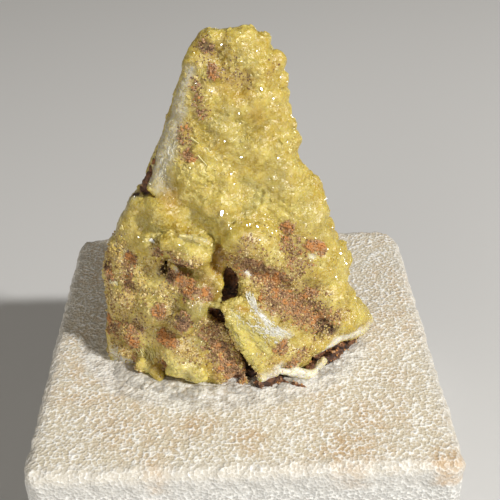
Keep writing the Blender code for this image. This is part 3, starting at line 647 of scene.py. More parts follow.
# Honey-brown crystal.
AMBER = (
    (-0.2, 6.9, -0.6, 0.4, 6.4, -0.6, 0.25, 0.8), (1.4, 20.3, 0.2, 1.4, 20.1, 0.2, 0.6, 0.35),
    (-0.2, 21.6, 0.2, 0.8, 21.3, 0.2, 0.8, 0.4), (-4.6, 14.3, 0.2, -4.5, 14.1, 0.2, 0.6, 0.7),
    (-6.5, 8.5, 0.7, -6.6, 9.3, 0.4, 0.75, 0.5), (-1.6, 10.5, 0.8, -1.6, 8.6, 1, 0.62, 1),
    (-2.4, 8.2, 0.3, -1.8, 7.2, 0.4, 0.55, 0.7), (-6.5, 1, -0.2, -6.4, 0.6, -0.1, 0.5, 0.9),
    (-2, 1.4, 0.2, -0.9, 0, 1, 0.6, 0.7), (-2.8, 9.2, 0.2, -2.2, 9, 0.4, 0.7, 0.4),
    (2.3, 1.9, 0.4, 3.4, 1.5, 0.4, 0.6, 0.5), (-0.3, 9.3, 0.6, 0.6, 9.2, 0.4, 0.5, 0.5),
)
# Tan dust, thickest among the rust.
DUST = (
    (-9, 8.5, 0, -8.6, 1, 0, 1.7, 0.7), (-6.8, 7.4, 0, -4.2, 2.5, 0, 1.5, 0.4),
    (0.8, 9.9, 0, 6.2, 4, 0, 1.7, 0.6), (0.2, 10.4, 0, 0.9, 12, -1.6, 0.7, 0.4),
    (-1.9, 4.4, 0.6, -0.2, 0.5, 0.8, 1.3, 0.9), (-5.7, 10.3, -0.5, -3.2, 10.3, -1.1, 0.6, 0.7),
    (-5, 8.4, 0.4, -3, 7.4, 0, 1, 0.6), (1.5, 2.6, 0, 5, 1.8, 0, 0.9, 0.35),
)
# Grey-green, clouded crystal.
OLIVE = (
    (-3.4, 7, -0.4, -2.6, 6, -0.3, 0.5, 0.9), (-2.7, 8.4, 0.2, -1.8, 7, 0.3, 0.75, 1),
    (2.4, 16.6, 0, 3, 15, 0, 0.8, 0.5), (-2.6, 13.6, -0.2, -0.6, 12.6, -0.2, 0.6, 0.5),
    (4.6, 13.4, 0.2, 5.6, 11.2, 0.3, 0.9, 0.35), (-6.8, 12.2, 0.2, -5.6, 12.6, 0.2, 0.8, 0.4),
    (-6.5, 6.3, -0.6, -5.5, 5, -0.6, 1.3, 0.7), (-6.6, 2.4, -0.3, -6.5, 1.9, -0.3, 1.2, 0.7),
    (-3, 7, -0.8, -3.2, 3.4, 0.3, 0.8, 1), (0.5, 15.4, 0.1, 1.8, 14.7, 0, 0.4, 0.7),
    (1.8, 14.7, 0, 0.5, 13.5, 0, 0.4, 0.7), (5.2, 6.8, 0.2, 3.2, 7.6, 0.3, 1, 0.5),
    (-0.8, 19.4, 0.1, 0.6, 19, 0.1, 1.2, 0.4), (-9, 5.5, 0, -8.8, 4.5, 0, 0.8, 0.4),
)
# Clean, bright yellow crystal.
LEMON = (
    (-6.9, 8.9, 0.4, -6.3, 7.6, 0.4, 0.7, 0.4),  # beside the hollow
    (-4.8, 1.7, -0.5, -3.3, 1.1, -0.5, 0.95, 1),  # broken crystals at the foot
    (-7.5, 2.4, -0.3, -7.1, 0.2, -0.3, 0.5, 0.8), (-6.1, -0.2, -0.4, -5.9, -0.4, -0.4, 0.35, 0.8),
    (-0.4, 5.4, -0.6, 1.6, 2, -0.6, 0.8, 0.65),  # the wing
    (-3.3, 11.2, -0.9, -2.2, 11.1, -0.9, 0.7, 0.45), (1.6, 14.2, 0, 2.8, 13.4, 0, 0.7, 0.45),
)
# The lower left lobe, painted paler than the rest as painted light, because it faces away from the lamp.
LOBE_PAINTED_LIGHT = (
    (-8.9, 8.4, 0, -8.5, 1.2, 0, 1.7, 1), (-6.4, 6.8, 0, -6.2, 2.4, 0, 1.3, 0.9),
    (-6.6, 9.4, 0.3, -6.2, 7.8, 0.3, 0.9, 0.8),
)
# Grey-white, broken and silky crystal.
PALE = (
    (-2.8, 22.9, 0.3, -3.5, 20.4, 0.2, 0.35, 0.9),  # the broken left edge
    (-2.6, 22.9, 0.4, -3.7, 20.8, 0.4, 0.36, 1), (-3.7, 20.8, 0.4, -4.8, 18.4, 0.4, 0.42, 1),
    (-4.8, 18.4, 0.4, -5.6, 16.5, 0.4, 0.46, 1), (-3.5, 20.4, 0.2, -4.25, 18.2, 0.2, 0.45, 1),
    (-4.25, 18.2, 0.2, -4.9, 16.4, 0.2, 0.6, 1), (-4.9, 16.4, 0.2, -5.2, 15.1, 0.2, 0.66, 0.8),
    (-4.9, 17.6, 0.3, -5.7, 15.2, 0.3, 0.45, 1), (-8.5, 11.6, 0.4, -9.1, 10, 0.7, 0.5, 0.7),
    (-7.2, 13.6, 0.6, -8.6, 11.4, 0.5, 0.45, 0.6), (-4.1, 2.3, -0.7, -3.8, 1.2, -0.6, 0.65, 0.22),
    (-3.8, 12, -0.8, -1.9, 11.8, -0.8, 0.2, 0.5),
    (0.6, 7.2, 0.1, 1.2, 6.2, -0.3, 0.2, 0.3),  # round the silk on the wing
    (1.2, 6.2, -0.3, 2.5, 5, -0.6, 0.55, 0.2), (2.5, 5, -0.6, 3.5, 3.9, -0.1, 0.5, 0.2),
)
# White, broken crystal.
WHITE = (
    (-9.8, 0.6, -0.5, -9.2, 0.1, -0.5, 0.42, 0.8),  # the lower left corner
    (-9.2, 0.1, -0.5, -8.2, 0.1, -0.6, 0.5, 0.9), (-6.4, -0.8, 0.9, -7.9, -0.1, 0.4, 0.35, 0.8),
    (10.4, 1.6, 0.3, 9, 1.9, 0.1, 0.42, 0.6),  # the broken lower right edge
    (9, 1.9, 0.1, 7.9, 2.2, 0, 0.48, 0.8), (7.9, 2.2, 0, 7, 2, 0.1, 0.42, 0.9),
    (7, 2, 0.1, 6.3, 1.5, 0.3, 0.38, 1), (6.3, 1.5, 0.3, 5.8, 0.9, 0.4, 0.34, 1),
    (3, 0.8, 0.1, 5.3, 0.3, -0.5, 0.5, 1), (1.4, 0.5, 0, 2.6, 1, 0.2, 0.5, 0.9),
    (6.4, 1.1, 0.1, 5.5, 0.1, -0.2, 0.36, 0.9),
    (1.2, 5.9, -0.4, 2, 5, -0.8, 0.34, 0.35),  # silk on the wing
    (2.3, 4.8, -0.6, 3.3, 3.8, -0.1, 0.42, 0.4), (0.7, 7.2, 0.1, 1, 6.6, -0.1, 0.14, 0.9),
    (0.5, 9, 0.2, 0.6, 8.8, 0.2, 0.2, 0.9), (5.1, 9.7, 0, 5.3, 9.6, 0, 0.2, 0.8),
    (-4.5, 9.1, 0, -4.4, 8.6, 0.3, 0.26, 1), (-3.7, 12.05, -0.8, -2.2, 11.95, -0.8, 0.1, 0.7),
)
# Black-brown spots and the nodule, and painted shade in the holes, the pits, the notch and the crevice
# along the wing's free edge.
DARK_AND_SHADE = (
    (-4.1, 5.65, -0.95, -4.1, 5.45, -0.95, 0.5, 0.45),  # the nodule
    (-4.95, 8.55, 0.3, -4.9, 7.9, 0.3, 0.26, 0.7),  # left of the orange grains in the hollow
    (-1.7, 24.5, 0.2, -1.6, 24.2, 0.1, 0.22, 0.6), (-5.3, 8.6, 0.4, -5.2, 8.5, 0.4, 0.36, 1),
    (-4.2, 8.6, 0.9, -3.7, 8.5, 1, 0.25, 0.9), (-9.7, 8, 0.1, -9.7, 7.8, 0.1, 0.3, 0.8),
    (5.9, 4, 0, 6.6, 3.3, 0, 0.5, 0.9), (-0.95, 4.6, 1.2, -0.4, 3.3, 1.2, 0.26, 0.9),
    (-0.4, 3.3, 1.2, 0.3, 1.9, 1.2, 0.28, 1), (0.3, 1.9, 1.2, 1.2, -0.3, 1.2, 0.34, 1),
    (-7.6, 14.3, 0.6, -5.6, 14.1, 0.6, 0.24, 1), (-0.9, 7.4, 1.3, -0.5, 8.3, 1.3, 0.5, 0.9),
    (-1.8, 5.7, 0.9, -1.4, 5.3, 0.9, 0.4, 0.9),
)
MARKS = {
    "rust": RUST, "specks": SPECKS, "amber": AMBER, "olive": OLIVE, "dust": DUST, "orange": ORANGE,
    "lemon": LEMON, "light": LOBE_PAINTED_LIGHT, "pale": PALE, "white": WHITE, "dark": DARK_AND_SHADE,
}


def add_lobe(shape, row):
    """Adds an ellipsoid from a row of a table."""
    across, height, depth, wide, deep, tall, tilt = row
    add_ball(shape, on_face(across, height, depth), (wide, deep, tall), tilt)


def surface_of(thing):
    """A search tree of an object's faces, for finding the nearest place on it."""
    places = [point.co for point in thing.data.vertices]
    return BVHTree.FromPolygons(places, [face.vertices for face in thing.data.polygons])


def painted(places, surface, warp, rows):
    """How strongly each point is marked by the rows: 1 at the middle of a mark, 0 outside it."""
    marked = np.zeros(len(places))
    for row in rows:
        start = np.array(surface.find_nearest(on_face(*row[0:3]))[0])
        end = np.array(surface.find_nearest(on_face(*row[3:6]))[0])
        way = end - start
        share = clipped(((places - start) @ way) / max(way @ way, 1e-6))
        away = np.linalg.norm(places - start - share[:, None] * way, axis=1) / row[6]
        marked = np.maximum(marked, row[7] * clipped(1.5 - away + warp))
    return marked


crust = object_of("yellow_crust_grown", copy_of("yellow_crust"))
skinned(crust, COARSE_SKIN, 12)
shape = bmesh.new()
shape.from_mesh(crust.data)
for height, across, depth, radius in RIM_KNOBS:
    add_ball(shape, on_face(across, height, depth), [radius + KNOB_SWELL] * 3)
for across, height, depth, wide, tall in DOMES:
    add_ball(shape, on_face(across, height, depth + DOME_SINK), (wide, DOME_DEPTH, tall))
for across, height, depth, wide, deep, tall, tilt in BLOCKS:
    turned = Matrix.Rotation(tilt, 4, "Y") @ Matrix.Rotation(BLOCK_PITCH, 4, "X")
    placed = Matrix.Translation(on_face(across, height, depth)) @ turned
    bmesh.ops.create_cube(shape, size=2.0, matrix=placed @ Matrix.Diagonal((wide, deep, tall, 1.0)))
for row in EDGE_RUNS:
    add_run(shape, row)
shape.to_mesh(crust.data)
shape.free()
skinned(crust, FINE_SKIN, 0)
shape = bmesh.new()
for row in HOLES:
    add_lobe(shape, row)
for across, height in WING_SIDE:
    for beside, above, *row in WING_CUTS:
        add_lobe(shape, (across + beside, height + above, *row))
openings = object_of("openings", shape)
skinned(openings, FINE_SKIN, 0)
places, ways = skin_of(openings)
ragged = 0.10 * soft_noise(places, 0.55, 19) + 0.07 * soft_noise(places, 0.25, 20)
put_points(openings, places + ways * ragged[:, None])
opened = crust.modifiers.new("opened", "BOOLEAN")
opened.operation = "DIFFERENCE"
opened.solver = "MANIFOLD"
opened.object = openings
bake(crust)
bpy.data.objects.remove(openings)
shape = bmesh.new()
shape.from_mesh(crust.data)
for row in TIP_RUNS:
    add_run(shape, row)
shape.to_mesh(crust.data)
shape.free()
skinned(crust, LAST_SKIN, 2)

# The crust's relief, in millimetres: broad lobes, sugary grains where it isn't smooth, silk on the
# wing and creases. Each noise has its own grain and seed.
places, ways = skin_of(crust)
stirred = places + 0.2 * np.column_stack([soft_noise(places, 0.9, seed) for seed in (21, 22, 23)])
surface = surface_of(crust)
druse_share = np.clip(0.55 + 0.9 * soft_noise(places, 2.4, 24), 0.2, 1.0)
druse_share *= 1.0 - 0.7 * painted(places, surface, 0.0, SMOOTH)
broad = 0.10 * (beads(stirred, 1.0, 12) - 0.5) + 0.13 * soft_noise(places, 1.7, 14)
fine = 0.03 * soft_noise(stirred, 0.5, 26)
fine += druse_share * (0.13 * (beads(stirred, 0.42, 13) - 0.5) + 0.05 * soft_noise(places, 0.25, 15))
warp = 0.45 * soft_noise(places, 0.45, 16)
fibred = painted(places, surface, 0.0, [SILKY])
broken = np.maximum(painted(places, surface, warp, PALE + WHITE), 0.8 * fibred)
lift = 0.10 + broad * (1.0 - 0.65 * broken) + fine * (1.0 - 0.8 * broken)
along, beside = (places[:, 0] - places[:, 2]) / 1.41, (places[:, 0] + places[:, 2]) / 1.41
silk_places = np.column_stack((beside / 0.22, along / 1.4, places[:, 1] / 0.6))
lift += 0.10 * fibred * soft_noise(silk_places, 1.0, 17)
for row in DENTS:
    lift -= row[7] * painted(places, surface, 0.5 * warp, [(*row[:7], 1.0)])
places += ways * lift[:, None]
put_points(crust, places)
surface = surface_of(crust)
marks = {name: painted(places, surface, warp, rows) for name, rows in MARKS.items()}
marks["dust"] *= clipped(0.65 + 1.5 * soft_noise(places, 1.1, 27))
for name in ("dust", "rust", "specks"):
    marks[name] *= 1.0 - 0.9 * np.maximum(marks["lemon"], marks["white"])
# Painted shade: points that lie low in the broad relief are marked, and the crystal is painted deeper
# amber there.
marks["hollow"] = clipped(0.5 - 3.4 * broad)
marks["shade"] = 0.5 + 0.5 * soft_noise(places, 0.3, 18)
for name, values in marks.items():
    paint(crust, name, values)

# Granules are small round grains of which only a share is there, each with a tone of its own.
tree, takes, end = new_group("granules", {"Size": 0.16, "Share": 0.5}, ("Mask", "Tone"))
scale = worked("DIVIDE", 1000.0, takes["Size"])
stir = noisy(takes["Vector"], 6000.0, 1.0)["Color"]
stir = vector_sum("SUBTRACT", stir, (0.5, 0.5, 0.5))[0]
stir = vector_sum("MULTIPLY", stir, (0.0002, 0.0002, 0.0002))[0]
stir = vector_sum("ADD", stir, takes["Vector"])[0]
cell = place_node("ShaderNodeTexVoronoi", {"Vector": stir, "Scale": scale}).outputs
parts = place_node("ShaderNodeSeparateColor", {"Color": cell["Color"]}).outputs
there = worked("LESS_THAN", parts[0], takes["Share"])
inside = eased(cell["Distance"], 0.62, 0.42)
wired(end, {"Mask": times(there, inside), "Tone": parts[1]})

crystal, tree, spot = new_material("yellow crystal")
relief = shared("facets", spot, Size=0.26, Tilt=0.60, Grain=0.07)
zones = cloudy(spot, 3.4, 0.12)
flecks = cloudy(spot, 0.9, 0.12)
# Painted highlights: fine flecks painted pale yellow stand in for sparkle on the small crystals; the same
# flecks also mottle the pale and white places.
sugar_sparkle = cloudy(spot, 0.17, 0.10)
lemon = cloudy(spot, 1.5, 0.10)
rust, dark, orange = (stored(name) for name in ("rust", "dark", "orange"))
chips = shared("granules", spot, Size=0.13, Share=times(stored("dust"), 0.55))
grain = shared("granules", spot, Size=0.13, Share=times(rust, 0.9))
dots = shared("granules", spot, Size=0.13, Share=times(stored("specks"), 0.30))
lumps = shared("granules", spot, Size=0.17, Share=orange)
chip_tone = eased(chips["Tone"], 0.35, 0.65)
colour = layered(
    mixed(zones, (0.47, 0.325, 0.028), (0.565, 0.435, 0.082)),
    (lemon, 0.42, (0.65, 0.55, 0.15)),
    # painted shade in the low places of the relief
    (eased(stored("hollow"), 0.35, 1.0, 0.0, 0.65), 1.0, (0.37, 0.245, 0.020)),
    (flecks, 0.32, (0.40, 0.255, 0.018)),
    (sugar_sparkle, 0.26, (0.78, 0.69, 0.30)),
    (eased(stored("shade"), 0.60, 1.0, 0.0, 0.35), 1.0, (0.76, 0.67, 0.28)),
    (eased(stored("shade"), 0.40, 0.0, 0.0, 0.28), 1.0, (0.32, 0.21, 0.016)),
    ("olive", 0.7, (0.33, 0.28, 0.09)),
    ("amber", 0.8, (0.39, 0.20, 0.014)),
    ("lemon", 0.72, (0.76, 0.66, 0.20)),
    # painted light on the lower left lobe
    ("light", 0.45, (0.78, 0.62, 0.17)),
    ("dust", 0.75, (0.64, 0.425, 0.195)),
    (chips["Mask"], 0.75, mixed(chip_tone, (0.28, 0.15, 0.060), (0.80, 0.66, 0.38))),
    ("pale", eased(sugar_sparkle, 0.0, 1.0, 0.62, 1.0), (0.47, 0.425, 0.30)),
    ("white", eased(sugar_sparkle, 0.0, 1.0, 0.72, 1.0), (0.82, 0.79, 0.68)),
    (rust, 0.75, (0.42, 0.27, 0.13)),
    (grain["Mask"], 1.0, mixed(grain["Tone"], (0.20, 0.105, 0.048), (0.56, 0.37, 0.19))),
    ("specks", 0.28, (0.37, 0.21, 0.075)),
    (dots["Mask"], 0.9, (0.15, 0.060, 0.026)),
    (orange, 0.8, (0.25, 0.105, 0.040)),
    (lumps["Mask"], 1.0, mixed(lumps["Tone"], (0.38, 0.16, 0.052), (0.62, 0.29, 0.085))),
    # black-brown spots, and painted shade in the holes, pits, notch and crevice
    (dark, 1.0, (0.050, 0.018, 0.008)),
)
glossy = eased(relief["Tone"], 0.70, 0.92, 0.28, 0.09)
dull = eased(worked("MAXIMUM", rust, dark), 0.2, 0.7, 0.0, 0.75)
surfaced(colour, worked("MAXIMUM", glossy, dull), relief, (0.6, (1.0, 0.80, 0.20), 0.5), IOR=1.6)
finish_piece(crust, "yellow_crust", crystal)

# Druse: small glassy crystals standing close together all over the crust's outside, of the same
# mineral and grown with it. Only their upper facets are free.
CRYSTAL_COUNT = 4600
CRYSTAL_SHAPES = 4
CRYSTAL_RADII = (0.12, 0.16, 0.20, 0.28)
CRYSTAL_JITTER = 0.12
POINTS_EACH = 12


def small_shape():
    """A small rounded crystal of 20 faces, knocked out of true."""
    shape = bmesh.new()
    bmesh.ops.create_icosphere(shape, subdivisions=1, radius=1.0)
    for point in shape.verts:
        point.co *= between(1.0 - CRYSTAL_JITTER, 1.0 + CRYSTAL_JITTER)
    mesh = bpy.data.meshes.new("small shape")
    shape.to_mesh(mesh)
    shape.free()
    return mesh


def scattered(name, placements):
    """One object made of copies of the small shapes, one for each placement."""
    gathered = bmesh.new()
    for index, placement in enumerate(placements):
        single = shapes[index % len(shapes)].copy()
        single.transform(placement)
        gathered.from_mesh(single)
        bpy.data.meshes.remove(single)
    return object_of(name, gathered)


def drawn(where, weights, count):
    """Draws points at random, by their weights, from where a condition holds."""
    found = np.flatnonzero(where)
    return np.array(picker.choices(list(found), weights=list(weights[found]), k=count))


def any_way():
    """A random vector."""
    return Vector([picker.gauss(0.0, 1.0) for axis in range(3)])


def tossed(middle, radius, wide, tall):
    """Where a small shape of this radius lies, with a random width, height and turn."""
    size = Matrix.Diagonal((radius, radius * between(*wide), radius * between(*tall), 1.0))
    axis = any_way().normalized()
    turn = Matrix.Rotation(between(0.0, math.tau), 4, axis)
    return Matrix.Translation(Vector(middle)) @ turn @ size


picker = random.Random(5)
between = picker.uniform
ways = skin_of(crust)[1]
shapes = [small_shape() for number in range(CRYSTAL_SHAPES)]
chosen = drawn(ways[:, 1] < 0.35, (druse_share**2) * clipped(1.1 - broken), CRYSTAL_COUNT)
placements = []
for index in chosen:
    radius = picker.choice(CRYSTAL_RADII) * between(0.85, 1.15)
    middle = places[index] - ways[index] * radius * between(0.66, 0.90)
    placements.append(tossed(middle, radius, (0.7, 1.0), (1.0, 1.4)))
druse = scattered("crust_druse", placements)
held = {name: values[chosen] for name, values in marks.items()}
held["shade"] = [between(0.3, 1.0) for index in chosen]
for name, values in held.items():
    paint(druse, name, np.repeat(values, POINTS_EACH))
small_crystal = crystal.copy()
small_crystal.name = "small yellow crystal"
small_crystal.node_tree.nodes["Principled BSDF"].inputs["Subsurface Weight"].default_value = 0.0
dress(druse, small_crystal)
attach(druse, "root")

# Rust grains: crumbs of limonite sitting on the crust where it is stained, and loose on the rock. They
# are tan and brown-black, and orange where they lie in clumps.
GRAIN_COUNT = 8000
CRUMB_COUNT = 5200
crumbs, tree, spot = new_material("limonite crumbs")
tone = stored("tone")
colour = layered(
    mixed(eased(tone, 0.05, 0.30), (0.085, 0.042, 0.020), (0.22, 0.115, 0.055)),
    (eased(tone, 0.30, 0.54), 1.0, (0.44, 0.265, 0.135)),
    (eased(tone, 0.60, 0.76), 1.0, (0.50, 0.22, 0.060)),
)
surfaced(colour, 0.6)
forward = ways[:, 1] < 0.2
chosen = drawn((marks["rust"] > 0.2) & forward, marks["rust"] ** 1.5, GRAIN_COUNT)
on_rock = picker.choices(range(len(slab.data.vertices)), k=CRUMB_COUNT)
rock_places, rock_ways = (rows[on_rock] for rows in skin_of(slab))
rock_places = rock_places / MM
nodule = painted(places[chosen], surface, 0.0, [NODULE])
# Grains are darker where the crust is black-brown or painted with shade.
grain_tone = 0.50 + 0.26 * marks["orange"][chosen] - 0.10 * nodule - 0.34 * marks["dark"][chosen]
rock_tone = np.where(rock_places[:, 0] > 4.0, 0.66, 0.42)
LOOSE = (
    ("rust_grains", places[chosen], ways[chosen], (0.034, 0.082), grain_tone),
    ("rock_crumbs", rock_places, rock_ways, (0.045, 0.10), rock_tone),
)
for name, spots, turns, radii, base in LOOSE:
    clumped = soft_noise(spots, 0.55, 25)
    placements, tones = [], []
    for place, way, clump, middle_tone in zip(spots, turns, clumped, base):
        radius = between(*radii) * (1.0 + 0.8 * max(clump, 0.0))
        middle = place + way * between(0.02, 0.07)
        placements.append(tossed(middle, radius, (0.6, 1.0), (0.8, 1.5)))
        tones.append(min(max(picker.gauss(middle_tone + 0.4 * clump, 0.15), 0.0), 1.0))
    grains = scattered(name, placements)
    paint(grains, "tone", np.repeat(tones, POINTS_EACH))
    dress(grains, crumbs)
    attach(grains, "root")

# Crystal crumbs: fine broken grains of the crust's own mineral, tan and dull yellow. They cling to the
# crust among the rust, where it is dusty.
CHIP_COUNT = 3400
chosen = drawn((marks["dust"] > 0.1) & forward, marks["dust"], CHIP_COUNT)
placements = []
for index in chosen:
    radius = between(0.04, 0.10)
    middle = places[index] + ways[index] * between(0.0, 0.05)
    placements.append(tossed(middle, radius, (0.5, 1.0), (0.8, 1.6)))
crystal_crumbs = scattered("crystal_crumbs", placements)
paint(crystal_crumbs, "tone", np.repeat([picker.random() for index in chosen], POINTS_EACH))
chippings, tree, spot = new_material("crystal crumbs")
tone = stored("tone")
colour = mixed(eased(tone, 0.10, 0.40), (0.27, 0.145, 0.055), (0.52, 0.37, 0.10))
colour = layered(colour, (eased(tone, 0.55, 0.95), 1.0, (0.72, 0.58, 0.30)))
surfaced(colour, 0.45)
dress(crystal_crumbs, chippings)
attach(crystal_crumbs, "root")

# Shards: broken crystals, cleavage edges and silky fibres of the crust's mineral, white where they are
# most broken. They stand on the crust, grown with it.
# Single ones: (across, height, depth) of both ends, width, thickness and whiteness.
SHARDS = (
    (-6.2, 11.2, -0.4, -5.6, 10.7, -0.5, 0.34, 0.2, 1),  # white chip
    (-9.6, 6.8, -0.2, -8.9, 6.8, -0.1, 0.45, 0.16, 0.4),  # flake on the left edge
    (-2.9, 18.6, -0.3, -2, 17.9, -0.3, 0.15, 0.26, 0.25),  # cleavage ridges
    (-1.9, 18, -0.3, -1.2, 17.1, -0.3, 0.14, 0.22, 0.25),
    (-2.5, 17.6, -0.1, -1.9, 16.6, -0.2, 0.1, 0.16, 0.3), (0.4, 9.1, 0.1, 0.7, 8.7, 0.1, 0.12, 0.1, 1),
    (-3.95, 12.1, -0.9, -2.05, 12.12, -0.95, 0.36, 0.26, 0.22),  # the pale flake along the ledge's top
)
# Runs of silk: both ends, number of fibres, their spread and the least whiteness.
SILK = (
    (0.6, 7.4, 0.2, 1.1, 6.2, -0.3, 40, 0.1, 0.7), (1, 6.1, -0.5, 2, 5.1, -0.8, 60, 0.28, 0.75),
    (2.2, 4.9, -0.7, 3.3, 3.8, -0.2, 84, 0.32, 0.75), (0.8, 6, -1, 1.8, 3.6, -0.7, 24, 0.35, 0.3),
    (-0.5, 6.7, -0.7, -0.1, 5.9, -1, 10, 0.16, 0.5), (-4.3, 18, 0.1, -5.1, 15.3, 0.1, 18, 0.3, 0.5),
    (-3, 7, -0.7, -3.1, 5, -0.3, 8, 0.22, 0.2),
    (-6.9, 0.7, -0.4, -7.9, 2.4, -0.4, 34, 0.26, 0),  # the fan at the foot
    (-6.8, 0.7, -0.4, -6.9, 2.6, -0.4, 22, 0.2, 0), (-4.7, 2, -0.4, -3.2, 0.7, -0.5, 14, 0.4, 0.1),
)
# Blades that fan out from the wing's tip, and small points along its free edge.
WING_TIP = (-1.5, 7.0)
BLADE_COUNT = 22
EDGE_TIPS = 5
SHORTEST_SHARD = 0.05


def face_jitter(spread):
    """A random step along the face."""
    return Vector((picker.gauss(0.0, spread), 0.0, picker.gauss(0.0, spread)))


def add_shard(shape, start, end, width, thick):
    """Adds a tapered prism between two points, its broad side along the face. Gives its points."""
    way = end - start
    out = Vector((0.0, -math.cos(FACE_LEAN), math.sin(FACE_LEAN)))
    side = way.cross(out).normalized()
    turned = Matrix((side, out, way.normalized())).transposed().to_4x4()
    size = Matrix.Diagonal((width, thick, way.length, 1.0))
    placed = Matrix.Translation((start + end) / 2.0) @ turned @ size
    form = {"segments": 5, "radius1": 0.5, "radius2": 0.28, "depth": 1.0, "cap_ends": True}
    return bmesh.ops.create_cone(shape, matrix=placed, **form)["verts"]


shape = bmesh.new()
whiteness = shape.verts.layers.float.new("white")
rows = [(on_face(*row[0:3]), on_face(*row[3:6]), *row[6:9]) for row in SHARDS]
for row in SILK:
    first, last = on_face(*row[0:3]), on_face(*row[3:6])
    count, spread, white = row[6:9]
    for strand in range(count):
        middle = first.lerp(last, picker.random()) + face_jitter(spread)
        half = ((last - first).normalized() + face_jitter(0.28)).normalized() * between(0.10, 0.32)
        width = between(0.07, 0.15)
        rows.append((middle - half, middle + half, width, 0.12, between(white, white + 0.3)))
for blade in range(BLADE_COUNT):
    lean, begin = between(0.45, 1.15), between(0.4, 4.8)
    finish = begin + between(0.7, 1.9)
    start, end = (
        on_face(WING_TIP[0] + reach * math.sin(lean), WING_TIP[1] - reach * math.cos(lean), -0.8)
        for reach in (begin, finish)
    )
    rows.append((start, end, between(0.25, 0.60), between(0.06, 0.14), between(0.0, 0.15)))
for across, height in WING_SIDE:
    for tip in range(EDGE_TIPS):
        middle = on_face(across + picker.gauss(0.10, 0.08), height + 0.7 + picker.gauss(0.0, 0.22), -0.7)
        way = Vector((-1.0, 0.0, between(-0.9, 0.3))).normalized() * between(0.15, 0.32)
        rows.append((middle - way * 0.6, middle + way, between(0.16, 0.34), 0.16, between(0.0, 0.25)))
for *ends, width, thick, white in rows:
    start, end = (Vector(surface.find_nearest(point)[0]) for point in ends)
    if (end - start).length > SHORTEST_SHARD:
        for point in add_shard(shape, start, end, width, thick):
            point[whiteness] = white
            point.co += any_way() * 0.08 * width
crust_shards = object_of("crust_shards", shape)
silk, tree, spot = new_material("broken crystal")
fibres = cloudy(spot, 0.25, 0.15)
relief = shared("facets", spot, Size=0.20, Tilt=0.35, Grain=0.06)
colour = mixed(stored("white"), (0.60, 0.48, 0.085), (0.92, 0.90, 0.78))
colour = layered(colour, (fibres, 0.25, (0.66, 0.56, 0.25)))
surfaced(colour, 0.25, relief, (0.4, (1.0, 0.9, 0.5), 0.3))
dress(crust_shards, silk)
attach(crust_shards, "root")

# Bright faces: small flat crystal faces of the crust's mineral, clear and grown with it. They are turned
# so that they throw the lamp's light forward.
# The larger ones: (across, height, depth, radius).
BRIGHT_FACES = (
    (-1.11, 13.77, -0.9, 0.3), (1.73, 21.64, 0, 0.15), (-0.7, 24.44, 0, 0.08), (2.6, 20.87, 0.2, 0.07),
    (0.38, 17.25, 0, 0.1), (3.49, 17.94, 0.3, 0.09), (2.76, 16.93, 0.2, 0.08), (-0.35, 16.07, 0, 0.08),
    (7.06, 9.22, 0.1, 0.1), (7.6, 8.04, 0.4, 0.07), (6.52, 7.83, 0.3, 0.08), (0.65, 13.2, -1.2, 0.08),
    (0.95, 13.29, -1.2, 0.06), (1.43, 13.17, -1.2, 0.09), (0.33, 20.28, 0, 0.06), (-0.78, 18.44, 0, 0.06),
    (-7.87, 4.76, -0.4, 0.08), (-4.32, 7.14, -0.5, 0.06), (3.08, 22.1, 0.4, 0.06),
)
SMALL_FACES = 1150
SEEN_FROM = Vector((0.2, -54.9, 58.8))
LIT_FROM = Vector((264.0, -186.0, 285.0))


def add_bright_face(shape, place, radius, astray):
    """Adds a short six-sided crystal whose flat end faces halfway between two places."""
    way = (SEEN_FROM - place).normalized() + (LIT_FROM - place).normalized()
    way = way.normalized() + astray * any_way()
    size = Matrix.Diagonal((radius, radius * between(0.35, 0.8), 1.2 * radius, 1.0))
    spun = Matrix.Rotation(between(0.0, math.tau), 4, "Z")
    turned = way.to_track_quat("Z", "Y").to_matrix().to_4x4() @ spun
    form = {"segments": 6, "radius1": 1.0, "radius2": 0.75, "depth": 1.0, "cap_ends": True}
    bmesh.ops.create_cone(shape, matrix=Matrix.Translation(place) @ turned @ size, **form)


shape = bmesh.new()
for across, height, depth, radius in BRIGHT_FACES:
    add_bright_face(shape, Vector(surface.find_nearest(on_face(across, height, depth))[0]), radius, 0.0)
toward = np.array((SEEN_FROM.normalized() + LIT_FROM.normalized()).normalized())
lit = np.flatnonzero((ways @ toward > 0.55) & (marks["rust"] < 0.3) & (marks["dark"] < 0.2))
for index in picker.choices(list(lit), k=SMALL_FACES):
    add_bright_face(shape, Vector(places[index]), between(0.022, 0.055), 0.10)
crust_faces = object_of("crust_faces", shape)
clear, tree, spot = new_material("clear crystal faces")
colour = mixed(cloudy(spot, 0.3, 0.15), (0.62, 0.50, 0.12), (0.78, 0.70, 0.34))
surfaced(colour, 0.16, None, (0.4, (1.0, 0.8, 0.2), 0.3), IOR=1.6)
dress(crust_faces, clear)
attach(crust_faces, "root")

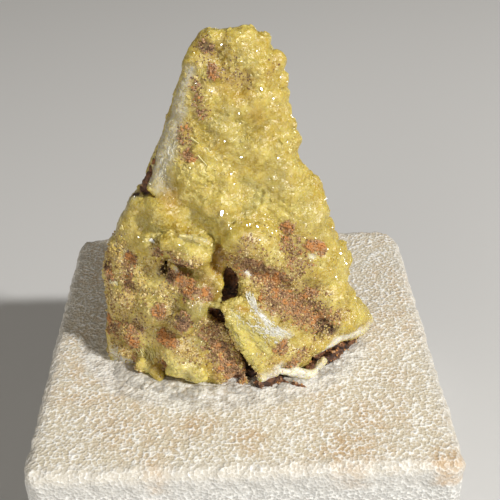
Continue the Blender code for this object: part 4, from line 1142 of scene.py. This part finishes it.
# The floor: a plain pale table top under the block. It isn't part of the object, and is there to take
# its shadow.
FLOOR_HALF = 0.6
shape = bmesh.new()
bmesh.ops.create_grid(shape, x_segments=8, y_segments=8, size=FLOOR_HALF)
floor = object_of("floor", shape)
paper, tree, spot = new_material("pale table")
surfaced((0.62, 0.61, 0.59, 1.0), 0.8)
floor.data.materials.append(paper)

# The light: one lamp high at the right and front, a weak broad one at the front, and an even pale room.
# Colours are shown as they are lit, with no film curve. Lamps: (name, place, side, power).
LAMPS = (
    ("key lamp", (0.264, -0.186, 0.285), 0.035, 1.92),
    ("fill lamp", (-0.20, -0.34, 0.10), 0.20, 0.57),
)
LIT_POINT = Vector((0.0, 0.0, 0.02))
ROOM_COLOUR = (0.97, 0.91, 0.82, 1.0)
ROOM_STRENGTH = 0.21
for name, place, side, power in LAMPS:
    lamp = bpy.data.lights.new(name, "AREA")
    lamp.size = side
    lamp.energy = power
    stand = bpy.data.objects.new(name, lamp)
    stand.location = place
    stand.rotation_euler = (Vector(place) - LIT_POINT).to_track_quat("Z", "Y").to_euler()
    bpy.context.scene.collection.objects.link(stand)
room = bpy.data.worlds.new("pale room")
room.use_nodes = True
wired(room.node_tree.nodes["Background"], {"Color": ROOM_COLOUR, "Strength": ROOM_STRENGTH})
bpy.context.scene.world = room
bpy.context.scene.view_settings.view_transform = "Standard"

# The camera: close above the block's front edge, looking down at the specimen. Its place, turn and lens
# were fitted to the block's square top.
TILT, TURN, ROLL = (math.radians(angle) for angle in (33.29, -0.75, -1.23))
CAMERA_TARGET = Vector((1.04, 11.82, 15.0)) * MM
CAMERA_DISTANCE = 79.79 * MM
LENS_LENGTH = 62.35
FILM_WIDTH = 36.0
back = Vector((math.sin(TURN) * math.cos(TILT), -math.cos(TURN) * math.cos(TILT), math.sin(TILT)))
right = Vector((math.cos(TURN), math.sin(TURN), 0.0))
turned = Matrix((right, back.cross(right), back)).transposed() @ Matrix.Rotation(ROLL, 3, "Z")
lens = bpy.data.cameras.new("camera")
lens.lens = LENS_LENGTH
lens.sensor_width = FILM_WIDTH
lens.clip_start = 0.001
camera = bpy.data.objects.new("camera", lens)
camera.matrix_world = Matrix.Translation(CAMERA_TARGET + CAMERA_DISTANCE * back) @ turned.to_4x4()
bpy.context.scene.collection.objects.link(camera)
bpy.context.scene.camera = camera
